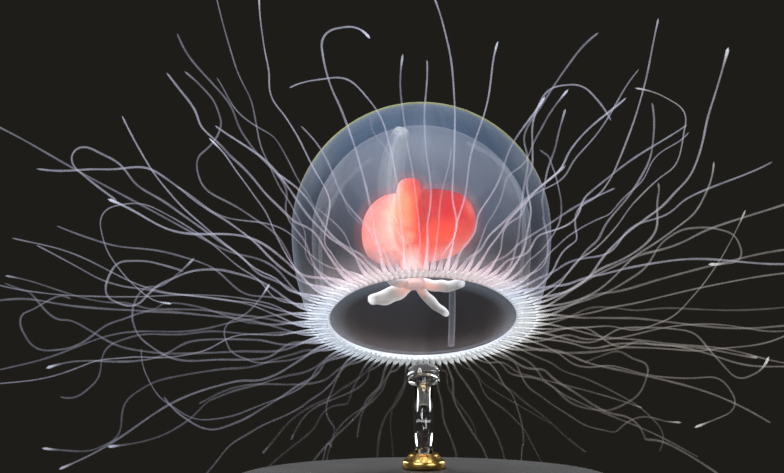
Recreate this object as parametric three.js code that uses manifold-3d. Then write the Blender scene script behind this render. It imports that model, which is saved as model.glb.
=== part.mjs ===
// A small hydromedusa (Turritopsis, the immortal jellyfish) as a still, life-size display model.
// Millimetres, +Z up. The origin is the centre of the stand's underside, and -Y is the viewer's side.
// The animal is modelled about its own axis (z towards the top of the bell, the rim in the plane z = 0)
// and then leans back on the stand, so that the mouth side shows from the front.
import * as THREE from "three";
import { mergeVertices } from "three/addons/utils/BufferGeometryUtils.js";
import Module from "manifold-3d";

const wasm = await Module();
wasm.setup();

// ---- Driving dimensions ----
const LEAN = 29.5; // degrees the bell tips back from upright
const ROLL = -1.0; // degrees the bell tips to its left
const RIM_HEIGHT = 9.3; // rim centre above the table

const BELL_RADIUS = 5.0; // widest, and the radius of the domed top
const BELL_WAIST = 3.64; // height of the widest ring above the rim
const BELL_SKIRT = 6.9; // semi-height of the lower half, which is cut off at the rim
const BELL_FOOT = 0.5; // where the jelly wall ends, just above the rim blocks
const CAVITY_RADIUS = 4.2;
const CAVITY_CENTRE = 3.5;
const CAVITY_SKIRT = 7.9;

const RIM_INNER = 3.54;
const RIM_OUTER = 4.42;
const RIM_TOP = 0.46;
const BULB_DEPTH = 0.34; // bulbs stand this far below the rim plane
const BULB_VALLEY = 0.24;
const BLOCKS = 36; // rim blocks, each with three bulbs and three tentacles
const SEAM = 0.03; // gap between pieces that touch

const TENTACLES = 3 * BLOCKS;
const TENTACLE_ROOT = 4.34; // radius where a tentacle's middle line starts, inside its bulb
const TENTACLE_THICK = 0.56; // side of the three-cornered section
const TENTACLE_STEP = 0.25; // spacing of the points that the middle line is worked out at
const TENTACLE_CLEAR = 0.74; // least distance between two middle lines
const UNTANGLE_PASSES = 14;
const STRAIGHT_ENOUGH = 0.2; // how far a tube's straight length may cut inside the curve

const STAND_RADIUS = 7.5;
const STAND_TOP = 3.2;
const STAND_BEVEL = 0.5;
const ROD_RADIUS = 0.35;
const COLLAR_RADIUS = 0.85;
const COLLAR_HEIGHT = 0.6;
const PAD_RADIUS = 0.62;
const PAD_THICK = 0.5;
const PAD_AT = 3.93; // distance from the bell's axis, under the rim's far side

// ---- Materials ----
const finish = (color, roughness, opacity = 1) =>
  new THREE.MeshStandardMaterial({ color, roughness, metalness: 0, opacity, transparent: opacity < 1 });
const jelly = finish(0xaebdcc, 0.15, 0.3);
const whiteTissue = finish(0xe9edf3, 0.5);
const paleTissue = finish(0xc9ced8, 0.4, 0.6);
const redTissue = finish(0xe2402f, 0.45);
const pinkTissue = finish(0xf0a48c, 0.45);
const clearAcrylic = finish(0xe8eef0, 0.05, 0.4);
const blackAcrylic = finish(0x1b1c1e, 0.2);
const polishedBrass = new THREE.MeshStandardMaterial({ color: 0xc9a35a, roughness: 0.25, metalness: 1 });

// ---- Small helpers ----
const rad = THREE.MathUtils.degToRad;
const smooth = (t) => {
  const c = Math.min(1, Math.max(0, t));
  return c * c * (3 - 2 * c);
};

// A repeatable value between -1 and 1 for tentacle k.
function vary(k, c) {
  const v = Math.sin(k * 12.9898 + c * 78.233) * 43758.5453;
  return 2 * (v - Math.floor(v)) - 1;
}

// The bell's axes in the world: x to the right, y to the far side of the rim, z to the top of the bell.
const lean = new THREE.Matrix4()
  .makeRotationY(rad(ROLL))
  .multiply(new THREE.Matrix4().makeRotationX(-rad(LEAN)));
const bellAxes = [new THREE.Vector3(), new THREE.Vector3(), new THREE.Vector3()];
lean.extractBasis(...bellAxes);
const onBell = (x, y, z) => new THREE.Vector3(x, y, z).applyMatrix4(lean);

// A closed mesh's solid, for joins and cuts.
function solidOf(geometry) {
  const bare = geometry.clone();
  bare.deleteAttribute("normal");
  bare.deleteAttribute("uv");
  const merged = mergeVertices(bare, 1e-4);
  return new wasm.Manifold(
    new wasm.Mesh({
      numProp: 3,
      vertProperties: merged.attributes.position.array,
      triVerts: new Uint32Array(merged.index.array),
    }),
  );
}

function geometryOf(solid) {
  const mesh = solid.getMesh();
  const geometry = new THREE.BufferGeometry();
  geometry.setAttribute("position", new THREE.BufferAttribute(mesh.vertProperties, 3));
  geometry.setIndex(new THREE.BufferAttribute(mesh.triVerts, 1));
  geometry.computeVertexNormals();
  return geometry;
}

// Closed rings of points joined into one skin with flat ends. Every ring runs the same way round.
function loft(rings) {
  const sides = rings[0].length;
  const positions = rings.flat().flatMap((p) => [p.x, p.y, p.z]);
  const faces = [];
  for (let r = 0; r + 1 < rings.length; r++)
    for (let i = 0; i < sides; i++) {
      const a = r * sides + i;
      const b = r * sides + ((i + 1) % sides);
      faces.push(a, b, b + sides, a, b + sides, a + sides);
    }
  // Each end is a fan from the ring's last point, from which the whole end can be seen.
  const last = (rings.length - 1) * sides;
  for (let i = 0; i < sides - 2; i++) {
    faces.push(sides - 1, i + 1, i, last + sides - 1, last + i, last + i + 1);
  }
  const geometry = new THREE.BufferGeometry();
  geometry.setAttribute("position", new THREE.Float32BufferAttribute(positions, 3));
  geometry.setIndex(faces);
  geometry.computeVertexNormals();
  return geometry;
}

// A solid of revolution about z from [radius, height] pairs that run up the outside, and start and
// end on the axis or close on themselves.
function turned(profile, segments) {
  const points = profile.map(([r, z]) => new THREE.Vector2(Math.max(0, r), z));
  return new THREE.LatheGeometry(points, segments).rotateX(Math.PI / 2);
}

// ---- Assembly ----
const model = new THREE.Group();
const animal = new THREE.Group();
animal.position.z = RIM_HEIGHT;
animal.quaternion.setFromRotationMatrix(lean);
model.add(animal);

function piece(name, geometry, material, parent = animal) {
  const mesh = new THREE.Mesh(geometry, material);
  mesh.name = name;
  parent.add(mesh);
  return mesh;
}

// ---- Bell: a clear jelly wall, thick at the top and thin at the rim, open below ----
const BELL_SEGMENTS = 20;
const BELL_ARC_STEP = 18; // degrees between the rings of the domed top
const CAVITY_ARC_STEP = 22.5;
const BELL_FLANK = 2.0; // one more ring between the waist and the foot, outside
const CAVITY_FLANK = 1.8; // and inside

function bellRadiusAt(z) {
  const up = z - BELL_WAIST;
  const semi = up > 0 ? BELL_RADIUS : BELL_SKIRT;
  return BELL_RADIUS * Math.sqrt(Math.max(0, 1 - (up / semi) ** 2));
}

function cavityRadiusAt(z) {
  const up = z - CAVITY_CENTRE;
  const semi = up > 0 ? CAVITY_RADIUS : CAVITY_SKIRT;
  return CAVITY_RADIUS * Math.sqrt(Math.max(0, 1 - (up / semi) ** 2));
}

function bell() {
  const outside = [];
  for (let a = 90; a > 0; a -= BELL_ARC_STEP) {
    outside.push([BELL_RADIUS * Math.cos(rad(a)), BELL_WAIST + BELL_RADIUS * Math.sin(rad(a))]);
  }
  for (const z of [BELL_WAIST, BELL_FLANK, BELL_FOOT]) outside.push([bellRadiusAt(z), z]);
  const inside = [];
  for (const z of [BELL_FOOT, CAVITY_FLANK]) inside.push([cavityRadiusAt(z), z]);
  for (let a = 0; a <= 90; a += CAVITY_ARC_STEP) {
    inside.push([CAVITY_RADIUS * Math.cos(rad(a)), CAVITY_CENTRE + CAVITY_RADIUS * Math.sin(rad(a))]);
  }
  return turned([...outside, ...inside].reverse(), BELL_SEGMENTS);
}
piece("bell", bell(), jelly);

// ---- Peduncle: the denser jelly under the top of the bell that carries the stomach ----
const MANUBRIUM_SHIFT = -0.3; // the stomach hangs a little to one side
const PEDUNCLE_RADIUS = 2.8;
const PEDUNCLE_WAIST = 2.55;
const PEDUNCLE_FOOT = 2.0;
const PEDUNCLE_EDGE_DROP = 0.35; // from the edge under the roof down to the waist
const PEDUNCLE_SEGMENTS = 18;
const ROOF_CLEAR = 0.12; // clear of the cavity's facets, and a little more towards the edge
const ROOF_CLEAR_SLOPE = 0.06;
const STOMACH_TOP = 5.7;

function peduncle() {
  const profile = [];
  for (let r = 0; r <= PEDUNCLE_RADIUS + 1e-6; r += PEDUNCLE_RADIUS / 3) {
    const roof = CAVITY_CENTRE + Math.sqrt(CAVITY_RADIUS ** 2 - r ** 2);
    profile.push([r, roof - ROOF_CLEAR - ROOF_CLEAR_SLOPE * r]);
  }
  const edge = profile[profile.length - 1][1];
  profile.push([PEDUNCLE_WAIST, edge - PEDUNCLE_EDGE_DROP]);
  profile.push([PEDUNCLE_FOOT, STOMACH_TOP + SEAM], [0, STOMACH_TOP + SEAM]);
  return turned(profile.reverse(), PEDUNCLE_SEGMENTS);
}
piece("gastric_peduncle", peduncle(), paleTissue);

// ---- Manubrium: the stomach tube with its neck and mouth, and four swollen red lobes round it ----
const manubrium = new THREE.Group();
manubrium.position.x = MANUBRIUM_SHIFT;
animal.add(manubrium);
const TUBE_RADIUS = 0.4;
const LOBE_FOOT = 2.35;
const LOBE_TOP = 5.66;
const STOMACH_SEGMENTS = 12;

const stomachProfile = [
  [0, 1.3],
  [0.5, 1.3],
  [0.45, 1.6],
  [0.72, 1.95],
  [0.95, LOBE_FOOT - 0.1],
  [TUBE_RADIUS, LOBE_FOOT - 0.05],
  [TUBE_RADIUS, STOMACH_TOP],
  [0, STOMACH_TOP],
];
piece("stomach", turned(stomachProfile, STOMACH_SEGMENTS), pinkTissue, manubrium);

// One lobe fills its own sector round the tube. It is widest at one height and draws in towards its foot
// and its top along elliptic arcs, to the share of its reach that is left there.
const LOBE_LEVELS = 6;
const LOBE_FLANKS = [-1, -0.62, 0, 0.62, 1]; // across the sector, from side to side
const LOBE_ROUNDING = 0.3;
const INNER_GAP = 2; // degrees that the inner corners stand back from the sector's sides

function lobe({ bearing, half, reach, foot, widest, top, footShare, topShare }) {
  const rings = [];
  for (let l = 0; l <= LOBE_LEVELS; l++) {
    const z = foot + ((top - foot) * l) / LOBE_LEVELS;
    const [end, share] = z > widest ? [top, topShare] : [foot, footShare];
    const off = (z - widest) / (end - widest);
    const fat = share + (1 - share) * Math.sqrt(1 - off * off);
    const ring = [];
    for (const side of LOBE_FLANKS) {
      const r = reach * fat * (1 - LOBE_ROUNDING * side * side);
      const a = rad(bearing + half * side);
      ring.push(new THREE.Vector3(r * Math.cos(a), r * Math.sin(a), z));
    }
    const innerRadius = (TUBE_RADIUS + SEAM) / Math.cos(rad(half - INNER_GAP));
    for (const side of [1, -1]) {
      const a = rad(bearing + (half - INNER_GAP) * side);
      ring.push(new THREE.Vector3(innerRadius * Math.cos(a), innerRadius * Math.sin(a), z));
    }
    rings.push(ring);
  }
  return loft(rings);
}
const LOBES = {
  gonad_near: {
    bearing: 263, half: 28, reach: 1.78, foot: 2.8, widest: 4.3, top: LOBE_TOP,
    footShare: 0.56, topShare: 0.58,
  },
  gonad_right: {
    bearing: 344, half: 49.5, reach: 2.42, foot: LOBE_FOOT, widest: 4.0, top: 5.15,
    footShare: 0.5, topShare: 0.72,
  },
  gonad_far: {
    bearing: 83.5, half: 44.5, reach: 1.9, foot: 2.45, widest: 4.0, top: 5.3,
    footShare: 0.6, topShare: 0.6,
  },
  gonad_left: {
    bearing: 182.5, half: 49.5, reach: 2.06, foot: LOBE_FOOT, widest: 3.6, top: 5.42,
    footShare: 0.78, topShare: 0.48,
  },
};
for (const [name, sizes] of Object.entries(LOBES)) piece(name, lobe(sizes), redTissue, manubrium);

// ---- Lips: four pale blades that spread from the mouth, each rolled a little about its length ----
const LIPS = [
  // name, bearing, reach, drop of the tip, sideways bend, half width, share of it at the tip, roll
  ["lip_right", 356, 1.95, 0.1, 0.0, 0.29, 0.95, 28],
  ["lip_far", 62, 2.28, 0.55, -0.25, 0.25, 0.9, 0],
  ["lip_left", 146, 1.98, 0.35, 0.3, 0.36, 0.85, -32],
  ["lip_near", 214, 1.4, 0.05, 0.1, 0.25, 0.7, -20],
];

const LIP_HALF_THICK = 0.2;
const LIP_STEPS = 4;
const LIP_SIDES = 5;
const LIP_START = 0.66; // from the stomach's axis, clear of its mouth
const LIP_ROOT_HEIGHT = 1.48;
const LIP_SAG = 0.2;
const LIP_ROOT_SHARE = 0.75; // of the full width
const LIP_TAPER_START = 0.45; // how far along a lip starts to narrow to its tip

function lip(bearing, reach, drop, bend, halfWidth, tip, roll) {
  const up = new THREE.Vector3(0, 0, 1);
  const along = new THREE.Vector3(Math.cos(rad(bearing)), Math.sin(rad(bearing)), 0);
  const across = new THREE.Vector3().crossVectors(up, along);
  const rolledAcross = across.clone().applyAxisAngle(along, rad(-roll));
  const rolledUp = up.clone().applyAxisAngle(along, rad(-roll));
  const rings = [];
  for (let i = 0; i <= LIP_STEPS; i++) {
    const t = i / LIP_STEPS;
    const centre = along.clone().multiplyScalar(LIP_START + (reach - LIP_START) * t);
    centre.addScaledVector(across, bend * t * t);
    centre.z = LIP_ROOT_HEIGHT - LIP_SAG * Math.sin(Math.PI * t) - drop * t * t;
    const swell = LIP_ROOT_SHARE + (1 - LIP_ROOT_SHARE) * Math.sin(Math.PI * t);
    const taper = 1 - (1 - tip) * smooth((t - LIP_TAPER_START) / (1 - LIP_TAPER_START));
    const high = i === LIP_STEPS ? LIP_HALF_THICK * tip : LIP_HALF_THICK;
    const ring = [];
    for (let c = 0; c < LIP_SIDES; c++) {
      const a = (c / LIP_SIDES) * 2 * Math.PI;
      const side = centre.clone().addScaledVector(rolledAcross, halfWidth * swell * taper * Math.cos(a));
      ring.push(side.addScaledVector(rolledUp, high * Math.sin(a)));
    }
    rings.push(ring);
  }
  return loft(rings);
}
for (const [name, ...sizes] of LIPS) piece(name, lip(...sizes), pinkTissue, manubrium);

// ---- Radial canals: four ribs down the inside of the bell from the peduncle to the rim ----
const CANAL_THICK = 0.46;
const CANAL_BEARINGS = [73, 163, 253, 343];
const CANAL_UNDER = 0.16; // gap between a canal and the wall above it
const CANAL_TOP = 40; // degrees up the dome where a canal starts
const CANAL_ARC_STEP = 15;
const CANAL_HEIGHTS = [2.2, 0.75]; // the last two points, down the straight part of the wall
const CANAL_STEPS = 4;

function canal(bearing) {
  const inset = CANAL_THICK / 2 + CANAL_UNDER;
  const points = [];
  for (let a = CANAL_TOP; a > 0; a -= CANAL_ARC_STEP) {
    const r = CAVITY_RADIUS - inset;
    points.push([r * Math.cos(rad(a)), CAVITY_CENTRE + r * Math.sin(rad(a))]);
  }
  for (const z of CANAL_HEIGHTS) points.push([cavityRadiusAt(z) - inset, z]);
  const path = points.map(
    ([r, z]) => new THREE.Vector3(r * Math.cos(rad(bearing)), r * Math.sin(rad(bearing)), z),
  );
  const half = CANAL_THICK / 2;
  const section = new THREE.Shape([
    new THREE.Vector2(-half, -half),
    new THREE.Vector2(half, -half),
    new THREE.Vector2(half, half),
    new THREE.Vector2(-half, half),
  ]);
  const curve = new THREE.CatmullRomCurve3(path);
  return new THREE.ExtrudeGeometry(section, { extrudePath: curve, steps: CANAL_STEPS });
}
CANAL_BEARINGS.forEach((bearing, i) => piece(`radial_canal_${i + 1}`, canal(bearing), paleTissue));

// ---- Velum: the thin shelf inside the rim, with the round opening in its middle ----
const VELUM_INNER = 2.95;
const VELUM_LOW = -0.12;
const VELUM_HIGH = 0.36;
const VELUM_SEGMENTS = 18;

function velum() {
  const outer = RIM_INNER * Math.cos(Math.PI / BLOCKS) - SEAM;
  const profile = [
    [VELUM_INNER, VELUM_LOW],
    [outer, VELUM_LOW],
    [outer, VELUM_HIGH],
    [VELUM_INNER, VELUM_HIGH],
    [VELUM_INNER, VELUM_LOW],
  ];
  return turned(profile, VELUM_SEGMENTS);
}
piece("velum", velum(), jelly);

// ---- Tentacles: where each one runs ----
// Most follow from their place on the rim. Those listed here hook, loop, kink or stand up: place on
// the rim, length, slope away from the viewer at the root and at the tip, then the headings that the
// tentacle takes from root to tip as seen from the front (0 right, 90 up, 180 left). The headings
// come closer together towards the tip.
const POSED = new Map([
  [0, [11.6, -6, 0, 20, 18, 15, 14, 8, 0]],
  [1, [12.4, 2, -2, 10, 14, 11, 6, 3]],
  [3, [12.6, 4, 0, 3, 8, -3, 3, 14, 12]],
  [4, [10.6, 6, 10, -5, -2, 20, 48, 55, 62, 66]],
  [5, [10.8, 12, 18, -4, 2, 4, -8, -46, -54, 22, 66]],
  [6, [12.2, 10, 0, -9, -8, -5, 6, 25, 28]],
  [8, [11.4, 18, 8, -14, -18, -17, -5, 4, -64, -156, -158]],
  [11, [8.8, 26, 24, -25, -26, -30, -46, -112]],
  [13, [12.0, 22, 38, -44, -44, -18, 24, 70, 160, 204, 208]],
  [15, [10.2, 38, 20, -44, -50, -36, 0, 6, -4]],
  [17, [8.4, 44, 24, -54, -76, -96, -118]],
  [37, [8.4, 44, 20, 244, 264, 270, 238, 214]],
  [39, [10.4, 34, 26, 228, 221, 214, 190, 150, 128]],
  [40, [11.2, 30, 12, 224, 218, 204, 180, 152, 118, 92]],
  [42, [14.4, 24, 16, 197, 192, 190, 193, 214, 266, 206, 178, 176]],
  [43, [8.2, 22, 24, 206, 192, 168, 110, 22, 50, 60]],
  [45, [12.0, 18, 8, 200, 192, 184, 176, 146, 90, 28, 40, 46]],
  [47, [13.0, 12, 4, 190, 184, 182, 172, 150, 148, 152, 158]],
  [49, [11.0, 8, -8, 186, 183, 180, 178, 200, 258, 220, 168]],
  [52, [14.6, 4, 20, 168, 174, 181, 206, 212, 186, 120, 20, -12]],
  [53, [13.4, 2, 6, 166, 176, 180, 176, 170, 186, 204]],
  [54, [14.0, 0, -6, 162, 176, 181, 178, 172, 163, 160]],
  [55, [10.8, -6, -4, 166, 172, 175, 160, 151, 152]],
  [57, [12.4, -14, 14, 134, 152, 182, 206, 222, 150, 62, 2, -16, -20]],
  [58, [10.6, -20, -18, 150, 154, 162, 174, 160, 156]],
  [59, [14.0, -12, 8, 136, 140, 145, 152, 190, 282, 306, 322, 350]],
  [60, [14.6, -18, -8, 146, 150, 151, 149, 154]],
  [61, [14.6, -26, -20, 140, 143, 142, 138, 150, 322, 326]],
  [62, [11.6, -34, -20, 138, 142, 140, 128, 118, 114]],
  [63, [8.0, -30, -18, 112, 120, 116, 124, 132]],
  [64, [12.0, -30, -4, 112, 124, 146, 152, 100, 48, 88, 138, 142]],
  [65, [12.8, -22, -4, 130, 140, 146, 152, 176, 184, 172]],
  [66, [12.2, -28, -14, 108, 113, 118, 122, 132, 112]],
  [67, [14.6, -35, 0, 108, 114, 112, 108, 106, 103, 102]],
  [70, [12.2, -35, 0, 100, 106, 111, 114, 106, 98, 92]],
  [75, [12.0, -38, 5, 92, 101, 105, 110, 112, 100, 10, -50]],
  [78, [10.8, -38, 8, 92, 97, 104, 130, 185, 208]],
  [80, [9.6, -42, -10, 92, 97, 100, 82]],
  [83, [13.4, -38, 5, 82, 86, 89, 94, 104, 112, 114]],
  [92, [11.4, -36, -2, 74, 84, 91, 72, 58, 54, 38]],
  [93, [11.0, -28, 10, 70, 80, 90, 92, 66, 6, -48, -62]],
  [94, [7.4, -40, -30, 62, 70, 96, 134]],
  [95, [8.4, -36, -20, 76, 84, 80, 74]],
  [99, [12.2, -22, -6, 50, 60, 66, 70, 75, 80, 78]],
  [100, [10.2, -30, -22, 54, 54, 50, 62, 86, 100]],
  [101, [12.8, -14, -6, 43, 46, 47, 56, 67, 74, 76]],
  [102, [12.0, -24, -2, 44, 44, 48, 60, 74, 150, 172]],
  [103, [7.8, -24, -28, 38, 36, 40, 70, 106]],
  [104, [9.4, -10, -12, 40, 36, 28, 44, 66, 86]],
  [105, [13.6, -18, -4, 34, 26, 20, 18, 20, 23]],
  [106, [10.8, -4, -14, 16, 20, 36, 56, 34, 6, -14, -70, -172, -182]],
]);

const blockOf = (k) => Math.floor(k / 3);
const bearingOf = (k) => ((k + 0.5) * 360) / TENTACLES;

// The free spread of tentacle k: it leaves the rim in one of three tiers and sways on the way out.
function spread(k) {
  const bearing = bearingOf(k);
  const front = Math.max(0, -Math.sin(rad(bearing)));
  const back = Math.max(0, Math.sin(rad(bearing)));
  const side = Math.abs(Math.cos(rad(bearing)));
  const tier = (k % 3) - 1;
  return {
    bearing,
    length: 7.8 + 5.0 * side ** 2 + 2.2 * back + 2.0 * vary(k, 2),
    lift: 7 + 8 * front - 10 * back ** 2 - (14 - 6 * back ** 2) * tier + 4 * vary(k, 1),
    bend: 10 * front - 4 * back ** 2 + 16 * vary(k, 3) * side + 6 * vary(k, 7),
    sweep: -24 * Math.sin(rad(2 * bearing)) * (front > 0 ? 1 : 0.4) + 5 * vary(k, 4),
    sway: 11 + 4 * vary(k, 5) - 5 * back ** 2,
    swayLength: 5.2 + 1.2 * vary(k, 6) + 4 * back ** 2,
    swayStart: rad(180 * Math.sin(rad(2 * bearing)) + 40 * vary(k, 8)),
  };
}

function freeHeading(free, s, u) {
  const sway = free.sway * (1 - Math.exp(-s / 1.5));
  const turn = (2 * Math.PI * s) / free.swayLength;
  const a = rad(free.bearing + free.sweep * u + sway * Math.sin(turn + free.swayStart));
  const rise = free.lift * Math.min(1, s / 0.8 + 0.2) + free.bend * u * u;
  const b = rad(rise + 0.8 * sway * Math.sin(turn / 1.27 + 1 + free.swayStart));
  return onBell(Math.cos(b) * Math.cos(a), Math.cos(b) * Math.sin(a), Math.sin(b));
}

// A posed tentacle turns into its own headings over the first POSE_BLEND, and its bends crowd
// towards the tip by POSE_CROWDING.
const POSE_BLEND = 2.2;
const POSE_CROWDING = 1.4;

function posedHeading(pose, u) {
  const [, slopeRoot, slopeTip, ...headings] = pose;
  const place = u ** POSE_CROWDING * (headings.length - 1);
  const i = Math.min(headings.length - 2, Math.floor(place));
  const h = rad(headings[i] + (headings[i + 1] - headings[i]) * smooth(place - i));
  const e = rad(slopeRoot + (slopeTip - slopeRoot) * u);
  return new THREE.Vector3(Math.cos(e) * Math.cos(h), Math.sin(e), Math.cos(e) * Math.sin(h));
}

// The middle line of tentacle k as it would run with no neighbours, from the rim centre.
function freeLine(k) {
  const free = spread(k);
  const pose = POSED.get(k);
  const length = pose ? pose[0] : free.length;
  const steps = Math.round(length / TENTACLE_STEP);
  const a = rad(free.bearing);
  const point = onBell(TENTACLE_ROOT * Math.cos(a), TENTACLE_ROOT * Math.sin(a), 0);
  const line = [point.clone()];
  for (let i = 0; i < steps; i++) {
    const u = (i + 0.5) / steps;
    const s = u * length;
    const heading = freeHeading(free, s, u);
    if (pose) heading.lerp(posedHeading(pose, u), smooth(s / POSE_BLEND)).normalize();
    point.addScaledVector(heading, length / steps);
    line.push(point.clone());
  }
  return line;
}

// How far a point has to move to be outside the bell and clear of the stand and the table.
const BELL_CLEAR = 0.45;
const STAND_CLEAR = 0.4;
const KEPT_OFF = 0.7; // share of the way out that one pass moves a point

function keepOff(point) {
  const x = point.dot(bellAxes[0]);
  const y = point.dot(bellAxes[1]);
  const up = point.dot(bellAxes[2]) - BELL_WAIST;
  const z = up < 0 ? (up * BELL_RADIUS) / BELL_SKIRT : up;
  const r = Math.hypot(x, y, z) + 1e-9;
  const move = new THREE.Vector3();
  const inside = BELL_RADIUS + BELL_CLEAR - r;
  if (inside > 0) move.copy(onBell(x, y, z)).multiplyScalar((KEPT_OFF * inside) / r);
  const overStand = Math.hypot(point.x, point.y) < STAND_RADIUS + STAND_CLEAR;
  const floor = (overStand ? STAND_TOP + STAND_CLEAR : STAND_CLEAR) - RIM_HEIGHT;
  if (point.z < floor) move.z += KEPT_OFF * (floor - point.z);
  return move;
}

// Least distance wanted between point i of tentacle k and point j of tentacle m. The three of one
// block start joined and come apart over the first SHARED_ROOT.
const SHARED_ROOT = 2.2;
const OWN_LOOP = 2.4; // how far along its own length a tentacle starts to keep clear of itself

function wanted(k, i, m, j) {
  if (k === m) return Math.abs(i - j) * TENTACLE_STEP > OWN_LOOP ? TENTACLE_CLEAR : 0;
  if (blockOf(k) !== blockOf(m)) return TENTACLE_CLEAR;
  return TENTACLE_CLEAR * Math.min(1, (Math.min(i, j) * TENTACLE_STEP) / SHARED_ROOT);
}

// Neighbouring tentacles push each other apart until none touches another, with their roots held.
const ROOT_HELD = 0.8; // this length stays where it is, and the next ROOT_FREED comes free
const ROOT_FREED = 1.6;
const BELL_FELT = 1; // the bell and the stand push from this far along
const SHIFT_SMOOTHINGS = 4;
const SHIFT_GAIN = 1.3;

function untangle(lines) {
  for (let pass = 0; pass < UNTANGLE_PASSES; pass++) {
    const moves = lines.map((line, k) =>
      line.map((p, i) => {
        const move = new THREE.Vector3();
        let most = 0;
        lines.forEach((other, m) => {
          for (let j = 0; j < other.length; j++) {
            const q = other[j];
            const dx = p.x - q.x;
            if (dx > TENTACLE_CLEAR || dx < -TENTACLE_CLEAR) continue;
            const dy = p.y - q.y;
            if (dy > TENTACLE_CLEAR || dy < -TENTACLE_CLEAR) continue;
            const dz = p.z - q.z;
            const distance = Math.sqrt(dx * dx + dy * dy + dz * dz) + 1e-9;
            const push = (wanted(k, i, m, j) - distance) / 2;
            if (push > most) {
              most = push;
              move.set(dx, dy, dz).multiplyScalar(push / distance);
            }
          }
        });
        if (i * TENTACLE_STEP > BELL_FELT) move.add(keepOff(p.clone().add(move)));
        return move.multiplyScalar(smooth((i * TENTACLE_STEP - ROOT_HELD) / ROOT_FREED));
      }),
    );
    lines.forEach((line, k) => {
      let shift = moves[k];
      for (let round = 0; round < SHIFT_SMOOTHINGS; round++) {
        shift = shift.map((v, i) => {
          if (i === 0) return v;
          const before = shift[i - 1];
          if (i === shift.length - 1) return v.clone().multiplyScalar(3).add(before).divideScalar(4);
          return v.clone().multiplyScalar(2).add(before).add(shift[i + 1]).divideScalar(4);
        });
      }
      line.forEach((p, i) => p.addScaledVector(shift[i], SHIFT_GAIN));
    });
  }
  return lines;
}

const lines = untangle(Array.from({ length: TENTACLES }, (_, k) => freeLine(k)));

// ---- Rim blocks: three bulbs and the three tentacles that grow from them ----
// The three thick tubes leave the block gathered towards its middle, then each follows its own line.
const GATHERED = 0.4; // share of the angle between neighbours that is closed up at the root
const GATHER_FADE = 1.5;

function gathered(line, k) {
  const offset = rad(((k % 3) - 1) * (360 / TENTACLES));
  return line.map((p, i) => {
    const own = p.clone();
    const angle = -GATHERED * offset * Math.exp((-i * TENTACLE_STEP) / GATHER_FADE);
    return own.applyAxisAngle(bellAxes[2], angle);
  });
}

// The fewest of a line's points that keep straight lengths within STRAIGHT_ENOUGH of it.
const LONGEST = 20; // points that one straight length may span

function thinned(line) {
  const kept = [line[0]];
  let from = 0;
  while (from < line.length - 1) {
    let to = from + 1;
    while (to + 1 < line.length && to + 1 - from <= LONGEST) {
      const chord = new THREE.Line3(line[from], line[to + 1]);
      const nearest = new THREE.Vector3();
      const worst = Math.max(
        ...line.slice(from + 1, to + 1).map((p) => chord.closestPointToPoint(p, true, nearest).distanceTo(p)),
      );
      if (worst > STRAIGHT_ENOUGH) break;
      to += 1;
    }
    kept.push(line[to]);
    from = to;
  }
  return kept;
}

// A path through given points that takes one step to each of them.
class PointPath extends THREE.Curve {
  constructor(points) {
    super();
    this.points = points;
  }
  getPoint(t) {
    return this.points[Math.round(t * (this.points.length - 1))].clone();
  }
  getPointAt(t) {
    return this.getPoint(t);
  }
  getTangentAt(t) {
    const i = Math.round(t * (this.points.length - 1));
    const before = this.points[Math.max(0, i - 1)];
    const after = this.points[Math.min(this.points.length - 1, i + 1)];
    const here = this.points[i];
    const into = here.clone().sub(before).normalize();
    const out = after.clone().sub(here).normalize();
    return into.add(out).normalize();
  }
}

function tube(points) {
  const corner = TENTACLE_THICK / Math.sqrt(3);
  const section = new THREE.Shape(
    [90, 210, 330].map((a) => new THREE.Vector2(corner * Math.cos(rad(a)), corner * Math.sin(rad(a)))),
  );
  const path = new PointPath(points);
  return new THREE.ExtrudeGeometry(section, { extrudePath: path, steps: points.length - 1 });
}

function rimBlock(block) {
  const middle = rad(((block + 0.5) * 360) / BLOCKS);
  const rings = [RIM_INNER, RIM_OUTER].map((radius) => {
    const half = radius * Math.tan(Math.PI / BLOCKS) - SEAM / 2;
    const ring = [];
    for (let c = 0; c <= 6; c++) ring.push([half * (c / 3 - 1), c % 2 ? -BULB_DEPTH : -BULB_VALLEY]);
    ring.push([half, RIM_TOP], [-half, RIM_TOP]);
    return ring.map(
      ([across, z]) =>
        new THREE.Vector3(
          radius * Math.cos(middle) - across * Math.sin(middle),
          radius * Math.sin(middle) + across * Math.cos(middle),
          z,
        ),
    );
  });
  return loft(rings);
}

const intoBell = lean.clone().invert();
for (let block = 0; block < BLOCKS; block++) {
  let joined = solidOf(rimBlock(block));
  for (let k = 3 * block; k < 3 * block + 3; k++) {
    const points = thinned(gathered(lines[k], k)).map((p) => p.clone().applyMatrix4(intoBell));
    joined = joined.add(solidOf(tube(points)));
  }
  piece(`rim_tentacles_${String(block + 1).padStart(2, "0")}`, geometryOf(joined), whiteTissue);
}

// ---- Stand: a round black base, one slim clear rod and a small pad under the far side of the rim ----
const BASE_SEGMENTS = 26;
const ROD_SEGMENTS = 12;
const COLLAR_SHOULDER = 0.6; // share of the collar's height that is straight
const COLLAR_LIP = 0.2; // how far its top stands out from the rod
const baseProfile = [
  [0, 0],
  [STAND_RADIUS, 0],
  [STAND_RADIUS, STAND_TOP - STAND_BEVEL],
  [STAND_RADIUS - STAND_BEVEL, STAND_TOP],
  [0, STAND_TOP],
];
piece("stand_base", turned(baseProfile, BASE_SEGMENTS), blackAcrylic, model);

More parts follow.
